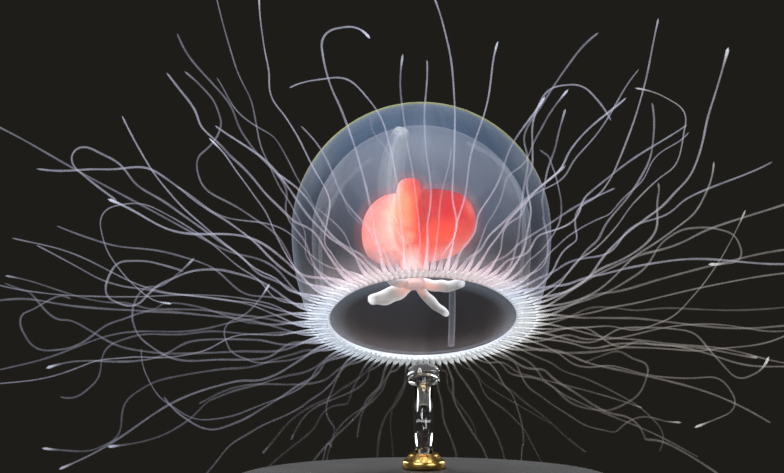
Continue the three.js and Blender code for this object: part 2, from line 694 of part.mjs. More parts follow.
const padCentre = onBell(0, PAD_AT, -BULB_DEPTH - SEAM - PAD_THICK / 2);
padCentre.z += RIM_HEIGHT;
const pad = piece(
  "stand_pad",
  new THREE.CylinderGeometry(PAD_RADIUS, PAD_RADIUS, PAD_THICK, ROD_SEGMENTS).rotateX(Math.PI / 2),
  clearAcrylic,
  model,
);
pad.position.copy(padCentre);
pad.quaternion.setFromRotationMatrix(lean);

// The rod stands upright and its top is cut to the slope of the pad.
const seat = onBell(0, PAD_AT, -BULB_DEPTH - SEAM - PAD_THICK - SEAM);
seat.z += RIM_HEIGHT;

function rod() {
  const slope = bellAxes[2];
  const ringAt = (height) =>
    Array.from({ length: ROD_SEGMENTS }, (_, i) => {
      const a = (i / ROD_SEGMENTS) * 2 * Math.PI;
      const x = ROD_RADIUS * Math.cos(a);
      const y = ROD_RADIUS * Math.sin(a);
      return new THREE.Vector3(seat.x + x, seat.y + y, height(x, y));
    });
  const onBase = () => STAND_TOP + SEAM;
  const underPad = (x, y) => seat.z - (slope.x * x + slope.y * y) / slope.z;
  return loft([ringAt(onBase), ringAt(underPad)]);
}
piece("stand_rod", rod(), clearAcrylic, model);

const collarProfile = [
  [ROD_RADIUS + SEAM, 0],
  [COLLAR_RADIUS, 0],
  [COLLAR_RADIUS, COLLAR_HEIGHT * COLLAR_SHOULDER],
  [ROD_RADIUS + COLLAR_LIP, COLLAR_HEIGHT],
  [ROD_RADIUS + SEAM, COLLAR_HEIGHT],
  [ROD_RADIUS + SEAM, 0],
];
const collar = piece("stand_collar", turned(collarProfile, ROD_SEGMENTS), polishedBrass, model);
collar.position.set(seat.x, seat.y, STAND_TOP + SEAM);

export default model;
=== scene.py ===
"""A small medusa, Turritopsis, as a still life-size model on a display stand."""
from math import cos, exp, hypot, pi, radians, sin, sqrt, tau

import bpy
from mathutils import Matrix, Vector, kdtree


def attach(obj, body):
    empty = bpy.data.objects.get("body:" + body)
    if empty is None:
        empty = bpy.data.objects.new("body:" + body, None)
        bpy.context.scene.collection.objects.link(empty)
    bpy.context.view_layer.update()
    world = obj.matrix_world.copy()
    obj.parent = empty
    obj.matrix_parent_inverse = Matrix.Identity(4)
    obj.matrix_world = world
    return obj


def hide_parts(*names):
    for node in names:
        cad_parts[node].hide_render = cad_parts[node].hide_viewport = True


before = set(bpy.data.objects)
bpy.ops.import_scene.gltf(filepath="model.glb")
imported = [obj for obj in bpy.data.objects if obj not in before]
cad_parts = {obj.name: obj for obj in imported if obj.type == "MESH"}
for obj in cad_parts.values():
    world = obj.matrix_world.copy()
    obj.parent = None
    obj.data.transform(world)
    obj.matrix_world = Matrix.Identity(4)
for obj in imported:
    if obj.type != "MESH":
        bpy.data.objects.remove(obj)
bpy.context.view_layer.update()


# ---- Camera ----
# A long lens a little above the level of the bell's rim, square to the front of the model and
# well above the floor. The animal sits low in the frame, with its rim two thirds of the way down.
MM = 0.001
RIM_HEIGHT = 9.3
rim_centre = Vector((0, 0, RIM_HEIGHT * MM))
LENS_ABOVE = radians(4)
LENS_AWAY = 200 * MM
FRAME_WIDTH = 29.8 * MM  # what the frame spans at the rim
AIM_LEFT = 1.18 * MM  # from the rim's centre to the middle of the frame
AIM_UP = 3.1 * MM

to_lens = Vector((0, -cos(LENS_ABOVE), sin(LENS_ABOVE)))
lens_up = Vector((0, sin(LENS_ABOVE), cos(LENS_ABOVE)))
aim = rim_centre + Vector((-AIM_LEFT, 0, 0)) + AIM_UP * lens_up
camera_data = bpy.data.cameras.new("camera")
camera_data.lens = camera_data.sensor_width * LENS_AWAY / FRAME_WIDTH
camera_data.clip_start = 10 * MM
camera_data.clip_end = 3
camera = bpy.data.objects.new("camera", camera_data)
camera.location = aim + LENS_AWAY * to_lens
camera.rotation_euler = (-to_lens).to_track_quat("-Z", "Y").to_euler()
bpy.context.scene.collection.objects.link(camera)
bpy.context.scene.camera = camera


# ---- Light and floor ----
# Soft boxes round the model in a dark room, as clear jelly only shows against the dark. The floor is a
# pale round board that the stand is set down on, kept small so that the tentacles show past its edge.
scene = bpy.context.scene
scene.view_settings.view_transform = "Standard"
scene.cycles.transparent_max_bounces = 48


def linear(code):
    """A hex sRGB colour as the linear colour that the nodes take."""
    parts = [int(code[i : i + 2], 16) / 255 for i in (1, 3, 5)]
    return [p / 12.92 if p < 0.04045 else ((p + 0.055) / 1.055) ** 2.4 for p in parts] + [1]


def add(tree, kind, inputs=None, stops=(), **settings):
    """Adds a node with its settings. An input takes a value, a hex colour, an output that feeds it, or a
    node whose first output does."""
    made = tree.nodes.new("ShaderNode" + kind)
    for name, value in settings.items():
        setattr(made, name, value)
    for name, value in (inputs or {}).items():
        if isinstance(value, bpy.types.Node):
            value = value.outputs[0]
        if isinstance(value, bpy.types.NodeSocket):
            tree.links.new(value, made.inputs[name])
        else:
            made.inputs[name].default_value = linear(value) if isinstance(value, str) else value
    for i, (position, colour) in enumerate(stops):
        points = made.color_ramp.elements
        point = points[i] if i < 2 else points.new(position)
        point.position = position
        point.color = linear(colour)
    return made


def new_finish(name):
    """An empty node material, its tree, and the place on the piece in metres."""
    material = bpy.data.materials.new(name)
    material.use_nodes = True
    tree = material.node_tree
    tree.nodes.clear()
    return material, tree, add(tree, "TexCoord").outputs["Object"]


def shaped(name, points, faces, material):
    """A smooth object from points in metres, with its finish."""
    mesh = bpy.data.meshes.new(name)
    mesh.from_pydata([tuple(p) for p in points], [], faces)
    mesh.validate()
    mesh.shade_smooth()
    mesh.materials.append(material)
    made = bpy.data.objects.new(name, mesh)
    scene.collection.objects.link(made)
    return made


def polar(radius, turn, height=0):
    """A place at a distance from the z axis, on a bearing in radians and at a height."""
    return Vector((radius * cos(turn), radius * sin(turn), height))


def turned(name, profile, segments, material):
    """A body turned about z from [radius, height] in mm that run up the outside. A radius of 0 is a
    point on the axis, and a profile that never reaches the axis closes on itself."""
    points, faces, rows = [], [], []
    for radius, height in profile:
        if radius < 1e-6:
            rows.append([len(points)] * segments)
            points.append(polar(0, 0, height) * MM)
            continue
        rows.append(list(range(len(points), len(points) + segments)))
        points += [polar(radius, tau * i / segments, height) * MM for i in range(segments)]
    ring_shaped = profile[0][0] > 1e-6 and profile[-1][0] > 1e-6
    pairs = list(zip(rows, rows[1:])) + ([(rows[-1], rows[0])] if ring_shaped else [])
    for low, high in pairs:
        for i in range(segments):
            j = (i + 1) % segments
            face = [low[i], low[j], high[j], high[i]]
            faces.append([v for n, v in enumerate(face) if v not in face[:n]])
    return shaped(name, points, faces, material)


def corner(radius, height, bend, start, end, steps=5):
    """Points of a rounded edge: centre, bend radius, and the angles it runs between, in degrees."""
    turns = [radians(start + (end - start) * i / steps) for i in range(steps + 1)]
    return [(radius + bend * cos(a), height + bend * sin(a)) for a in turns]


# Laminated board with a matt pale face. The paper face has a faint fibre grain. The scales of patterns,
# here and below, are given per millimetre.
pale_board, tree, place = new_finish("matt_pale_board")
fibre = add(tree, "TexNoise", {"Vector": place, "Scale": 0.9 / MM, "Detail": 4})
tint = add(tree, "ValToRGB", {"Fac": fibre}, [(0.3, "#747370"), (0.7, "#7b7a76")])
dimple = add(tree, "Bump", {"Height": fibre, "Strength": 0.15, "Distance": 0.02 * MM})
board = add(tree, "BsdfPrincipled", {"Base Color": tint, "Normal": dimple, "Roughness": 0.85})
add(tree, "OutputMaterial", {"Surface": board})

FLOOR_RADIUS = 13
FLOOR_THICK = 2
FLOOR_EDGE = 0.4
floor = turned(
    "floor",
    [(0, -FLOOR_THICK), (FLOOR_RADIUS, -FLOOR_THICK)]
    + corner(FLOOR_RADIUS - FLOOR_EDGE, -FLOOR_EDGE, FLOOR_EDGE, 0, 90) + [(0, 0)],
    160, pale_board)

world = bpy.data.worlds.new("dark_room")
world.use_nodes = True
world.node_tree.nodes["Background"].inputs["Color"].default_value = linear("#1f1d1a")
scene.world = world

# name, bearing (0 in front, 90 at the right), height in degrees, distance, size in mm, watts
SOFT_BOXES = [
    ("key_box", -34, 34, 260, 160, 0.8),
    ("fill_box", 40, 6, 260, 160, 0.47),
    ("low_box", -8, -19, 260, 160, 0.55),
    ("left_edge_box", -128, 22, 220, 90, 0.38),
    ("right_edge_box", 128, 22, 220, 90, 0.38),
    ("top_box", 180, 72, 220, 120, 0.46),
]
for name, bearing, height, away, size, watts in SOFT_BOXES:
    b, h = radians(bearing), radians(height)
    out = Vector((sin(b) * cos(h), -cos(b) * cos(h), sin(h)))
    light = bpy.data.lights.new(name, "AREA")
    light.shape = "DISK"
    light.size = size * MM
    light.energy = watts
    box = bpy.data.objects.new(name, light)
    box.location = rim_centre + away * MM * out
    box.rotation_euler = (-out).to_track_quat("-Z", "Y").to_euler()
    scene.collection.objects.link(box)


# ---- Display stand ----
# A turned black acrylic base, a slim clear acrylic rod glued into it under a small brass collar, and a
# clear acrylic pad under the far side of the rim, cut to the slope of the bell.
STAND_RADIUS = 7.5
STAND_TOP = 3.2
FOOT_EDGE = 0.15
TOP_EDGE = 0.5
ROD_RADIUS = 0.35
ROD_SIDES = 32
COLLAR_RADIUS = 0.85
COLLAR_HEIGHT = 0.6
PAD_RADIUS = 0.62
PAD_THICK = 0.5
PAD_EDGE = 0.08
PAD_AT = 3.93
BULB_DEPTH = 0.34
SEAM = 0.03
LEAN = radians(29.5)
ROLL = radians(-1)
lean = Matrix.Rotation(ROLL, 3, "Y") @ Matrix.Rotation(-LEAN, 3, "X")
on_bell = Matrix.Translation(rim_centre) @ lean.to_4x4()


def skinned(rings):
    """Points and faces of a closed skin through rings that have the same number of points."""
    sides = len(rings[0])
    points = [p for ring in rings for p in ring]
    faces = []
    for r in range(len(rings) - 1):
        for i in range(sides):
            a, b = r * sides + i, r * sides + (i + 1) % sides
            faces.append([a, b, b + sides, a + sides])
    faces.append(list(reversed(range(sides))))
    faces.append(list(range(len(points) - sides, len(points))))
    return points, faces


# Cast acrylic, diamond polished: glassy, with hairline marks from handling.
clear_acrylic, tree, place = new_finish("polished_cast_acrylic")
hairline = add(tree, "Mapping", {"Vector": place, "Scale": (6 / MM, 0.4 / MM, 0.4 / MM)})
marks = add(tree, "TexNoise", {"Vector": hairline, "Scale": 1, "Detail": 3})
dimple = add(tree, "Bump", {"Height": marks, "Strength": 0.04, "Distance": 0.004 * MM})
acrylic = add(tree, "BsdfPrincipled", {
    "Base Color": "#f4f8f9", "Normal": dimple, "Roughness": 0.03, "IOR": 1.49, "Transmission Weight": 1})
add(tree, "OutputMaterial", {"Surface": acrylic})

# Black acrylic turned and rubbed down matt: fine tool rings and a few soft scuffs.
black_acrylic, tree, place = new_finish("matt_turned_black_acrylic")
tool_rings = add(tree, "TexWave", {
    "Vector": place, "Scale": 0.9 / MM, "Distortion": 0.5}, wave_type="RINGS", rings_direction="Z")
scuffs = add(tree, "TexNoise", {"Vector": place, "Scale": 0.5 / MM, "Detail": 5})
sheen = add(tree, "MapRange", {
    "Value": scuffs, "From Min": 0.3, "From Max": 0.7, "To Min": 0.58, "To Max": 0.7})
dimple = add(tree, "Bump", {"Height": tool_rings.outputs["Fac"], "Strength": 0.12, "Distance": 0.006 * MM})
acrylic = add(tree, "BsdfPrincipled", {
    "Base Color": "#1b1c1e", "Normal": dimple, "Roughness": sheen, "IOR": 1.49})
add(tree, "OutputMaterial", {"Surface": acrylic})

# Brass turned on a lathe and polished: fine rings round it catch the light.
turned_brass, tree, place = new_finish("turned_polished_brass")
rings = add(tree, "TexWave", {"Vector": place, "Scale": 3.2 / MM, "Distortion": 0.4}, bands_direction="Z")
dimple = add(tree, "Bump", {"Height": rings.outputs["Fac"], "Strength": 0.25, "Distance": 0.006 * MM})
brass = add(tree, "BsdfPrincipled", {
    "Base Color": "#d8b063", "Normal": dimple, "Metallic": 1, "Roughness": 0.24})
add(tree, "OutputMaterial", {"Surface": brass})

base = turned(
    "display_base",
    [(0, 0)] + corner(STAND_RADIUS - FOOT_EDGE, FOOT_EDGE, FOOT_EDGE, -90, 0)
    + corner(STAND_RADIUS - TOP_EDGE, STAND_TOP - TOP_EDGE, TOP_EDGE, 0, 90, 8) + [(0, STAND_TOP)],
    144, black_acrylic)
base.data.polygons.foreach_set("use_smooth", [abs(p.normal.z) < 0.999 for p in base.data.polygons])
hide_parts("stand_base")

seat = on_bell @ (Vector((0, PAD_AT, -BULB_DEPTH - SEAM - PAD_THICK - SEAM)) * MM)
slope = lean.col[2]
low_ring, high_ring = [], []
for i in range(ROD_SIDES):
    at = seat + polar(ROD_RADIUS * MM, tau * i / ROD_SIDES)
    low_ring.append(Vector((at.x, at.y, (STAND_TOP + SEAM) * MM)))
    high_ring.append(at - Vector((0, 0, (at - seat).dot(slope) / slope.z)))
rod = shaped("display_rod", *skinned([low_ring, high_ring]), clear_acrylic)
rod.data.polygons.foreach_set("use_smooth", [len(p.vertices) == 4 for p in rod.data.polygons])
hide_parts("stand_rod")

pad = turned(
    "display_pad",
    [(0, 0)] + corner(PAD_RADIUS - PAD_EDGE, PAD_EDGE, PAD_EDGE, -90, 0)
    + corner(PAD_RADIUS - PAD_EDGE, PAD_THICK - PAD_EDGE, PAD_EDGE, 0, 90) + [(0, PAD_THICK)],
    48, clear_acrylic)
pad.matrix_world = on_bell @ Matrix.Translation(Vector((0, PAD_AT, -BULB_DEPTH - SEAM - PAD_THICK)) * MM)
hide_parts("stand_pad")

collar = turned(
    "brass_collar",
    [(ROD_RADIUS + SEAM, 0), (COLLAR_RADIUS, 0)]
    + corner(COLLAR_RADIUS - 0.1, 0.22, 0.1, 0, 80)
    + [(ROD_RADIUS + 0.2, COLLAR_HEIGHT - 0.06), (ROD_RADIUS + 0.14, COLLAR_HEIGHT),
       (ROD_RADIUS + SEAM, COLLAR_HEIGHT)],
    64, turned_brass)
collar.location = (seat.x, seat.y, (STAND_TOP + SEAM) * MM)
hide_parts("stand_collar")

for piece, slot in ((base, "black_acrylic"), (rod, "clear_acrylic"), (pad, "clear_acrylic"),
                    (collar, "polished_brass")):
    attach(piece, "root")


# ---- Bell ----
# The bell is a wall of clear jelly, thick at the top and thin at the rim, with a skin outside and
# another inside. The jelly is nearly colourless and turns blue-grey where it is seen edge on.
BELL_RADIUS = 4.97
BELL_WAIST = 3.64
BELL_SKIRT = 6.9
BELL_FOOT = 0.1
CAVITY_RADIUS = 4.2
CAVITY_WAIST = 3.5
CAVITY_SKIRT = 7.9
BELL_SEGMENTS = 120
SKIRT_CUTS = 16
CROWN_CUTS = 30


def side_radius(z, radius, waist, skirt):
    """The radius of a dome below its waist, where its side is part of a long ellipse."""
    return radius * sqrt(1 - ((z - waist) / skirt) ** 2)


def dome(radius, waist, skirt):
    """A profile from the foot up to the top of a dome."""
    side = [BELL_FOOT + (waist - BELL_FOOT) * i / SKIRT_CUTS for i in range(SKIRT_CUTS)]
    arc = [radians(90 * i / CROWN_CUTS) for i in range(CROWN_CUTS)]
    return ([(side_radius(z, radius, waist, skirt), z) for z in side]
            + [(radius * cos(a), waist + radius * sin(a)) for a in arc] + [(0, waist + radius)])


def jelly_finish(name, tints, thin=0, edge=0, power=6, depth=0, softness=1, skirt=0,
                 margin=0, haze=(0, 2.5, 6.5)):
    """Wet clear jelly. thin shows everywhere and edge is added where it is seen edge on; depth shows face
    on and fades softly towards the outline, as a thick body does; skirt is a broader edge low down; margin
    is milkiness in the lowest millimetre, most in front; haze is added between two heights in mm. Faint
    streaks run down from the top. tints: low down, high up, edge on, and the outline of the crown."""
    cloud, cloud_foot, cloud_top = haze
    low, high, edge_on, crown = tints
    material, tree, place = new_finish(name)
    x, y, z = add(tree, "SeparateXYZ", {"Vector": place}).outputs
    facing = add(tree, "LayerWeight", {"Blend": 0.5}).outputs["Facing"]
    rise = add(tree, "Math", {0: facing, 1: power}, operation="POWER")
    rim = add(tree, "Math", {0: rise, 1: edge, 2: thin}, operation="MULTIPLY_ADD")
    face_on = add(tree, "Math", {0: 1, 1: facing}, operation="SUBTRACT")
    soft = add(tree, "Math", {0: face_on, 1: softness}, operation="POWER")
    body = add(tree, "Math", {0: soft, 1: depth, 2: rim}, operation="MULTIPLY_ADD")
    height = add(tree, "MapRange", {
        "Value": z, "From Min": cloud_foot * MM, "From Max": cloud_top * MM, "To Max": cloud
    }, interpolation_type="SMOOTHSTEP")
    hazed = add(tree, "Math", {0: body, 1: height}, operation="ADD")
    low_down = add(tree, "MapRange", {
        "Value": z, "From Min": 4.5 * MM, "From Max": MM, "To Max": skirt}, interpolation_type="SMOOTHSTEP")
    broad = add(tree, "Math", {0: facing, 1: 2.2}, operation="POWER")
    skirted = add(tree, "Math", {0: broad, 1: low_down, 2: hazed}, operation="MULTIPLY_ADD")
    lowest = add(tree, "MapRange", {
        "Value": z, "From Min": 1.5 * MM, "From Max": 0.2 * MM}, interpolation_type="SMOOTHSTEP")
    milky = add(tree, "MapRange", {
        "Value": y, "From Min": -3 * MM, "From Max": 2 * MM, "To Min": margin, "To Max": 0.2 * margin})
    hemmed = add(tree, "Math", {0: lowest, 1: milky, 2: skirted}, operation="MULTIPLY_ADD")

    bearing = add(tree, "Math", {0: y, 1: x}, operation="ARCTAN2")
    fan = add(tree, "CombineXYZ", {"X": bearing, "Y": z})
    spread = add(tree, "Mapping", {"Vector": fan, "Scale": (7, 0.13 / MM, 1)})
    streaks = add(tree, "TexNoise", {"Vector": spread, "Scale": 1, "Detail": 3, "Distortion": 0.6})
    uneven = add(tree, "MapRange", {
        "Value": streaks, "From Min": 0.3, "From Max": 0.7, "To Min": 0.8, "To Max": 1.2})
    # Painted light: the left side of the jelly is made up to 15 per cent stronger so that it shows brighter
    # there. The jelly is also fainter in front and stronger behind.
    painted_left_light = add(tree, "MapRange", {"Value": x, "From Min": -5 * MM, "From Max": 5 * MM, "To Min": 1.15})
    backwards = add(tree, "MapRange", {
        "Value": y, "From Min": -4 * MM, "From Max": 4 * MM, "To Min": 0.68, "To Max": 1.16})
    painted_left_light_and_back = add(tree, "Math", {0: painted_left_light, 1: backwards}, operation="MULTIPLY")
    streaked = add(tree, "Math", {0: uneven, 1: painted_left_light_and_back}, operation="MULTIPLY")
    seen = add(tree, "Math", {0: hemmed, 1: streaked}, operation="MULTIPLY", use_clamp=True)

    climb = add(tree, "MapRange", {"Value": z, "From Min": 1.5 * MM, "From Max": 6 * MM})
    foot = add(tree, "MixRGB", {"Fac": lowest, "Color1": low, "Color2": "#d0c4ca"})
    tint = add(tree, "MixRGB", {"Fac": climb, "Color1": foot, "Color2": high})
    turning = add(tree, "MapRange", {"Value": facing, "From Min": 0.5, "From Max": 0.95})
    edged = add(tree, "MixRGB", {"Fac": turning, "Color1": tint, "Color2": edge_on})
    high_up = add(tree, "MapRange", {"Value": z, "From Min": 4 * MM, "From Max": 7 * MM, "To Max": 0.8})
    outline = add(tree, "MapRange", {"Value": facing, "From Min": 0.8, "From Max": 0.9, "To Max": high_up})
    crowned = add(tree, "MixRGB", {"Fac": outline, "Color1": edged, "Color2": crown})
    jelly = add(tree, "BsdfPrincipled", {"Base Color": crowned, "Alpha": seen, "Roughness": 0.4, "IOR": 1.36})
    add(tree, "OutputMaterial", {"Surface": jelly})
    return material


outer_jelly = jelly_finish("clear_jelly_outer_skin", ("#7c767e", "#7c9fc8", "#a0aec2", "#c8d07c"),
                           thin=0.036, edge=0.36, skirt=0.14, margin=0.19, haze=(0.17, 3.5, 8))
inner_jelly = jelly_finish("clear_jelly_inner_skin", ("#7a747a", "#a0a8b6", "#a6adbc", "#a6adbc"),
                           thin=0.017, edge=0.23, skirt=0.08, margin=0.06, haze=(0.125, 2, 6))

outer_profile = dome(BELL_RADIUS, BELL_WAIST, BELL_SKIRT)
inner_profile = dome(CAVITY_RADIUS, CAVITY_WAIST, CAVITY_SKIRT)
outer_skin = turned("bell_outer_skin", outer_profile, BELL_SEGMENTS, outer_jelly)
inner_skin = turned("bell_inner_skin", inner_profile, BELL_SEGMENTS, inner_jelly)
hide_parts("bell")
for piece in (outer_skin, inner_skin):
    piece.matrix_world = on_bell
    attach(piece, "root")


# ---- Peduncle ----
# Denser, milky jelly fills the top of the cavity above the stomach. One ridge of it stands up white
# where a canal leaves the stomach and runs up to the roof.
UNDER_ROOF = 0.08


def skin_piece(name, rings, material):
    """A closed skin through rings in mm, as a piece."""
    points, faces = skinned(rings)
    return shaped(name, [p * MM for p in points], faces, material)


def tube(path, radii, sides, up=Vector((0, 0, 1)), flat=None):
    """Rings of a round tube along a path of points. flat squeezes each ring along its own up."""
    rings = []
    side = None
    for i, point in enumerate(path):
        along = (path[min(i + 1, len(path) - 1)] - path[max(i - 1, 0)]).normalized()
        side = along.cross(up).normalized() if side is None else (side - side.dot(along) * along).normalized()
        over = side.cross(along)
        squeeze = flat[i] if flat else 1
        turns = [tau * c / sides for c in range(sides)]
        rings.append([point + radii[i] * (cos(a) * side + squeeze * sin(a) * over) for a in turns])
    return rings


milky_jelly = jelly_finish("milky_peduncle_jelly", ["#a8b3c4"] * 4, depth=0.14, softness=1.3)
white_ridge = jelly_finish("white_canal_ridge", ["#bcc8d8", "#d9e0dc", "#ccd5de", "#ccd5de"],
                           edge=0.1, power=2, depth=0.08, softness=1.6, haze=(0.5, 6.95, 7.35))

plug_profile = [(0, 4.9), (1.4, 4.95), (2, 5.1), (2.5, 5.4), (2.78, 5.8), (2.85, 6.2), (2.75, 6.5)]
plug_profile += [(r, CAVITY_WAIST + sqrt((CAVITY_RADIUS - UNDER_ROOF) ** 2 - r * r))
                 for r in (2.4, 1.9, 1.5, 1, 0.5)]
plug_profile.append((0, CAVITY_WAIST + CAVITY_RADIUS - UNDER_ROOF))
plug = turned("peduncle_jelly", plug_profile, 72, milky_jelly)

RIDGE = [
    # x, y, height and radius
    (-1.16, -1, 4.5, 0.5), (-1.16, -1.08, 5.1, 0.52), (-1.1, -1.2, 5.7, 0.5), (-0.98, -1.36, 6.2, 0.46),
    (-0.86, -1.51, 6.62, 0.43), (-0.74, -1.62, 6.96, 0.38), (-0.66, -1.69, 7.17, 0.29),
    (-0.63, -1.72, 7.26, 0.17),
]
ridge_rings = tube([Vector(row[:3]) for row in RIDGE], [row[3] for row in RIDGE], 24)
ridge = skin_piece("peduncle_ridge", ridge_rings, white_ridge)
subdivide = ridge.modifiers.new("round", "SUBSURF")
subdivide.levels = subdivide.render_levels = 2
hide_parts("gastric_peduncle")
for piece in (plug, ridge):
    piece.matrix_world = on_bell
    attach(piece, "root")


# ---- Stomach and gonads ----
# Four swollen lobes full of ripe eggs hide the stomach tube: a wide pale one at the left, a narrow upright
# one in front, a wide deep red one at the right and one behind. They are one soft skin.
LOBE_LEVELS = 18
LOBE_CUTS = 22
LOBE_CROWN = 0.22
LOBE_SIDES_IN = 0.36  # the share of its reach by which a lobe falls back at its two sides
MANUBRIUM_SHIFT = -0.3
on_manubrium = on_bell @ Matrix.Translation(Vector((MANUBRIUM_SHIFT, 0, 0)) * MM)


def lobe_rings(bearing, half, reach, foot, widest, top, foot_share, top_share):
    """One lobe in mm, in its own sector round the tube. It is widest at one height and draws in to its
    foot and its top along elliptic arcs, and both ends are crowned."""
    levels = []
    for level in range(LOBE_LEVELS + 1):
        z = foot + (top - foot) * level / LOBE_LEVELS
        end, share = (top, top_share) if z > widest else (foot, foot_share)
        off = (z - widest) / (end - widest)
        levels.append((share + (1 - share) * sqrt(max(0, 1 - off * off)), z))
    for turn in (25, 50, 70, 84):  # the crowns of both ends
        a = radians(turn)
        levels.append((top_share * cos(a), top + LOBE_CROWN * sin(a)))
        levels.insert(0, (foot_share * cos(a), foot - LOBE_CROWN * sin(a)))
    rings = []
    for fat, z in levels:
        ring = [polar(0, 0, z)]
        for cut in range(LOBE_CUTS + 1):
            side = 2 * cut / LOBE_CUTS - 1
            r = reach * fat * (1 - LOBE_SIDES_IN * side * side)
            ring.append(polar(r, radians(bearing + half * side), z))
        rings.append(ring)
    return rings


def joined(skins):
    """The points and faces of several skins as one."""
    points, faces = [], []
    for more, sides in skins:
        faces += [[v + len(points) for v in side] for side in sides]
        points += more
    return points, faces


LOBES = [
    # bearing, half its sector, reach, foot, widest height, top, share of the reach at the foot and the top
    (263, 29, 1.74, 3.12, 4.3, 5.4, 0.56, 0.6),
    (344, 51, 2.43, 2.6, 3.95, 4.88, 0.5, 0.72),
    (83.5, 46, 1.84, 2.7, 4, 5.04, 0.6, 0.6),
    (182.5, 51, 2, 2.6, 3.6, 5.1, 0.8, 0.4),
]
points, faces = joined(skinned(lobe_rings(*lobe)) for lobe in LOBES)

# Clear red eggs under a thin skin: saturated, glossy and faintly grained. Going round from the left, the
# colour runs from salmon over a cream seam and orange to deep red, which is deepest at its top. All of them
# are paler towards the foot, partly their own colour and partly painted light that lifts the shade under
# them.
ripe_gonad, tree, place = new_finish("ripe_red_gonad")
x, y, z = add(tree, "SeparateXYZ", {"Vector": place}).outputs
bearing = add(tree, "Math", {0: y, 1: x}, operation="ARCTAN2")
cloud = add(tree, "TexNoise", {"Vector": place, "Scale": 0.9 / MM, "Detail": 3})
wander = add(tree, "Math", {0: cloud, 1: 0.5, 2: -0.25}, operation="MULTIPLY_ADD")
about = add(tree, "Math", {0: bearing, 1: wander}, operation="ADD")
turn = add(tree, "MapRange", {"Value": about, "From Min": -pi, "From Max": pi})
tint = add(tree, "ValToRGB", {"Fac": turn},
           [(0, "#e97a76"), (1, "#e97a76"), (0.05, "#f08884"), (0.11, "#f69a92"), (0.128, "#ffbcae"),
            (0.144, "#ffe2d0"), (0.162, "#ffc09a"), (0.2, "#ffac86"), (0.235, "#fc8a60"), (0.27, "#ee4a34"),
            (0.3, "#d0140e"), (0.335, "#b00812"), (0.4, "#cc1e22"), (0.46, "#f2605a"), (0.75, "#e0332a"),
            (0.91, "#dc4038")])
top_tint = add(tree, "ValToRGB", {"Fac": turn},
               [(0, "#ea706e"), (1, "#ea706e"), (0.1, "#f28a88"), (0.15, "#ffccc8"), (0.185, "#fcb6b0"),
                (0.22, "#ec6058"), (0.26, "#cc2228"), (0.3, "#90061a"), (0.4, "#800416"), (0.5, "#b01420")])
at_top = add(tree, "MapRange", {
    "Value": z, "From Min": 3.8 * MM, "From Max": 5.3 * MM, "To Max": 0.85}, interpolation_type="SMOOTHSTEP")
topped = add(tree, "MixRGB", {"Fac": at_top, "Color1": tint, "Color2": top_tint})
# Painted light: the lower parts of the lobes are painted paler, to lift the shade under them.
painted_foot_light_tint = add(tree, "ValToRGB", {"Fac": turn},
                [(0, "#ffb6ae"), (1, "#ffb6ae"), (0.22, "#ffae9e"), (0.28, "#ff6e50"), (0.37, "#ff5636"),
                 (0.46, "#ff9084")])
painted_foot_light_share = add(tree, "MapRange", {
    "Value": z, "From Min": 3.8 * MM, "From Max": 2.6 * MM, "To Max": 0.85}, interpolation_type="SMOOTHSTEP")
foot_light_painted = add(tree, "MixRGB", {"Fac": painted_foot_light_share, "Color1": topped, "Color2": painted_foot_light_tint})
eggs = add(tree, "TexVoronoi", {"Vector": place, "Scale": 7.5 / MM})
speckle = add(tree, "MapRange", {"Value": eggs, "From Max": 0.9, "To Min": 1.04, "To Max": 0.9})
grained = add(tree, "MixRGB", {"Fac": 1, "Color1": foot_light_painted, "Color2": speckle}, blend_type="MULTIPLY")
dimple = add(tree, "Bump", {"Height": eggs, "Strength": 0.3, "Distance": 0.02 * MM}, invert=True)
gonad = add(tree, "BsdfPrincipled", {
    "Base Color": grained, "Normal": dimple, "Roughness": 0.5, "IOR": 1.36, "Specular IOR Level": 0.15,
    "Subsurface Weight": 0.35, "Subsurface Radius": (1, 0.3, 0.2), "Subsurface Scale": 0.3 * MM})
add(tree, "OutputMaterial", {"Surface": gonad})

# The lobes are made in mm, grown together into one skin, and then brought down to size.
gonads = shaped("gonads", points, faces, ripe_gonad)
merge = gonads.modifiers.new("one_skin", "REMESH")
merge.mode = "VOXEL"
merge.voxel_size = 0.055
soften = gonads.modifiers.new("soften", "SMOOTH")
soften.iterations = 9
ready = bpy.data.meshes.new_from_object(gonads.evaluated_get(bpy.context.evaluated_depsgraph_get()))
gonads.modifiers.clear()
gonads.data = ready
ready.transform(Matrix.Scale(MM, 4))
ready.shade_smooth()
gonads.matrix_world = on_manubrium
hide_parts("gonad_near", "gonad_right", "gonad_far", "gonad_left")
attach(gonads, "root")

# A thin milky sheath lies over the lobes and takes on their colour, so that their outline looks soft.
pink_sheath = jelly_finish("milky_gonad_sheath", ["#e66e6b"] * 4, depth=0.17, softness=1.3)
SHEATH_OFF = 0.36 * MM
sheath = shaped("gonad_sheath", [v.co + v.normal * SHEATH_OFF for v in ready.vertices],
                [list(p.vertices) for p in ready.polygons], pink_sheath)
relax = sheath.modifiers.new("relax", "SMOOTH")
relax.iterations = 30
sheath.matrix_world = on_manubrium
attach(sheath, "root")

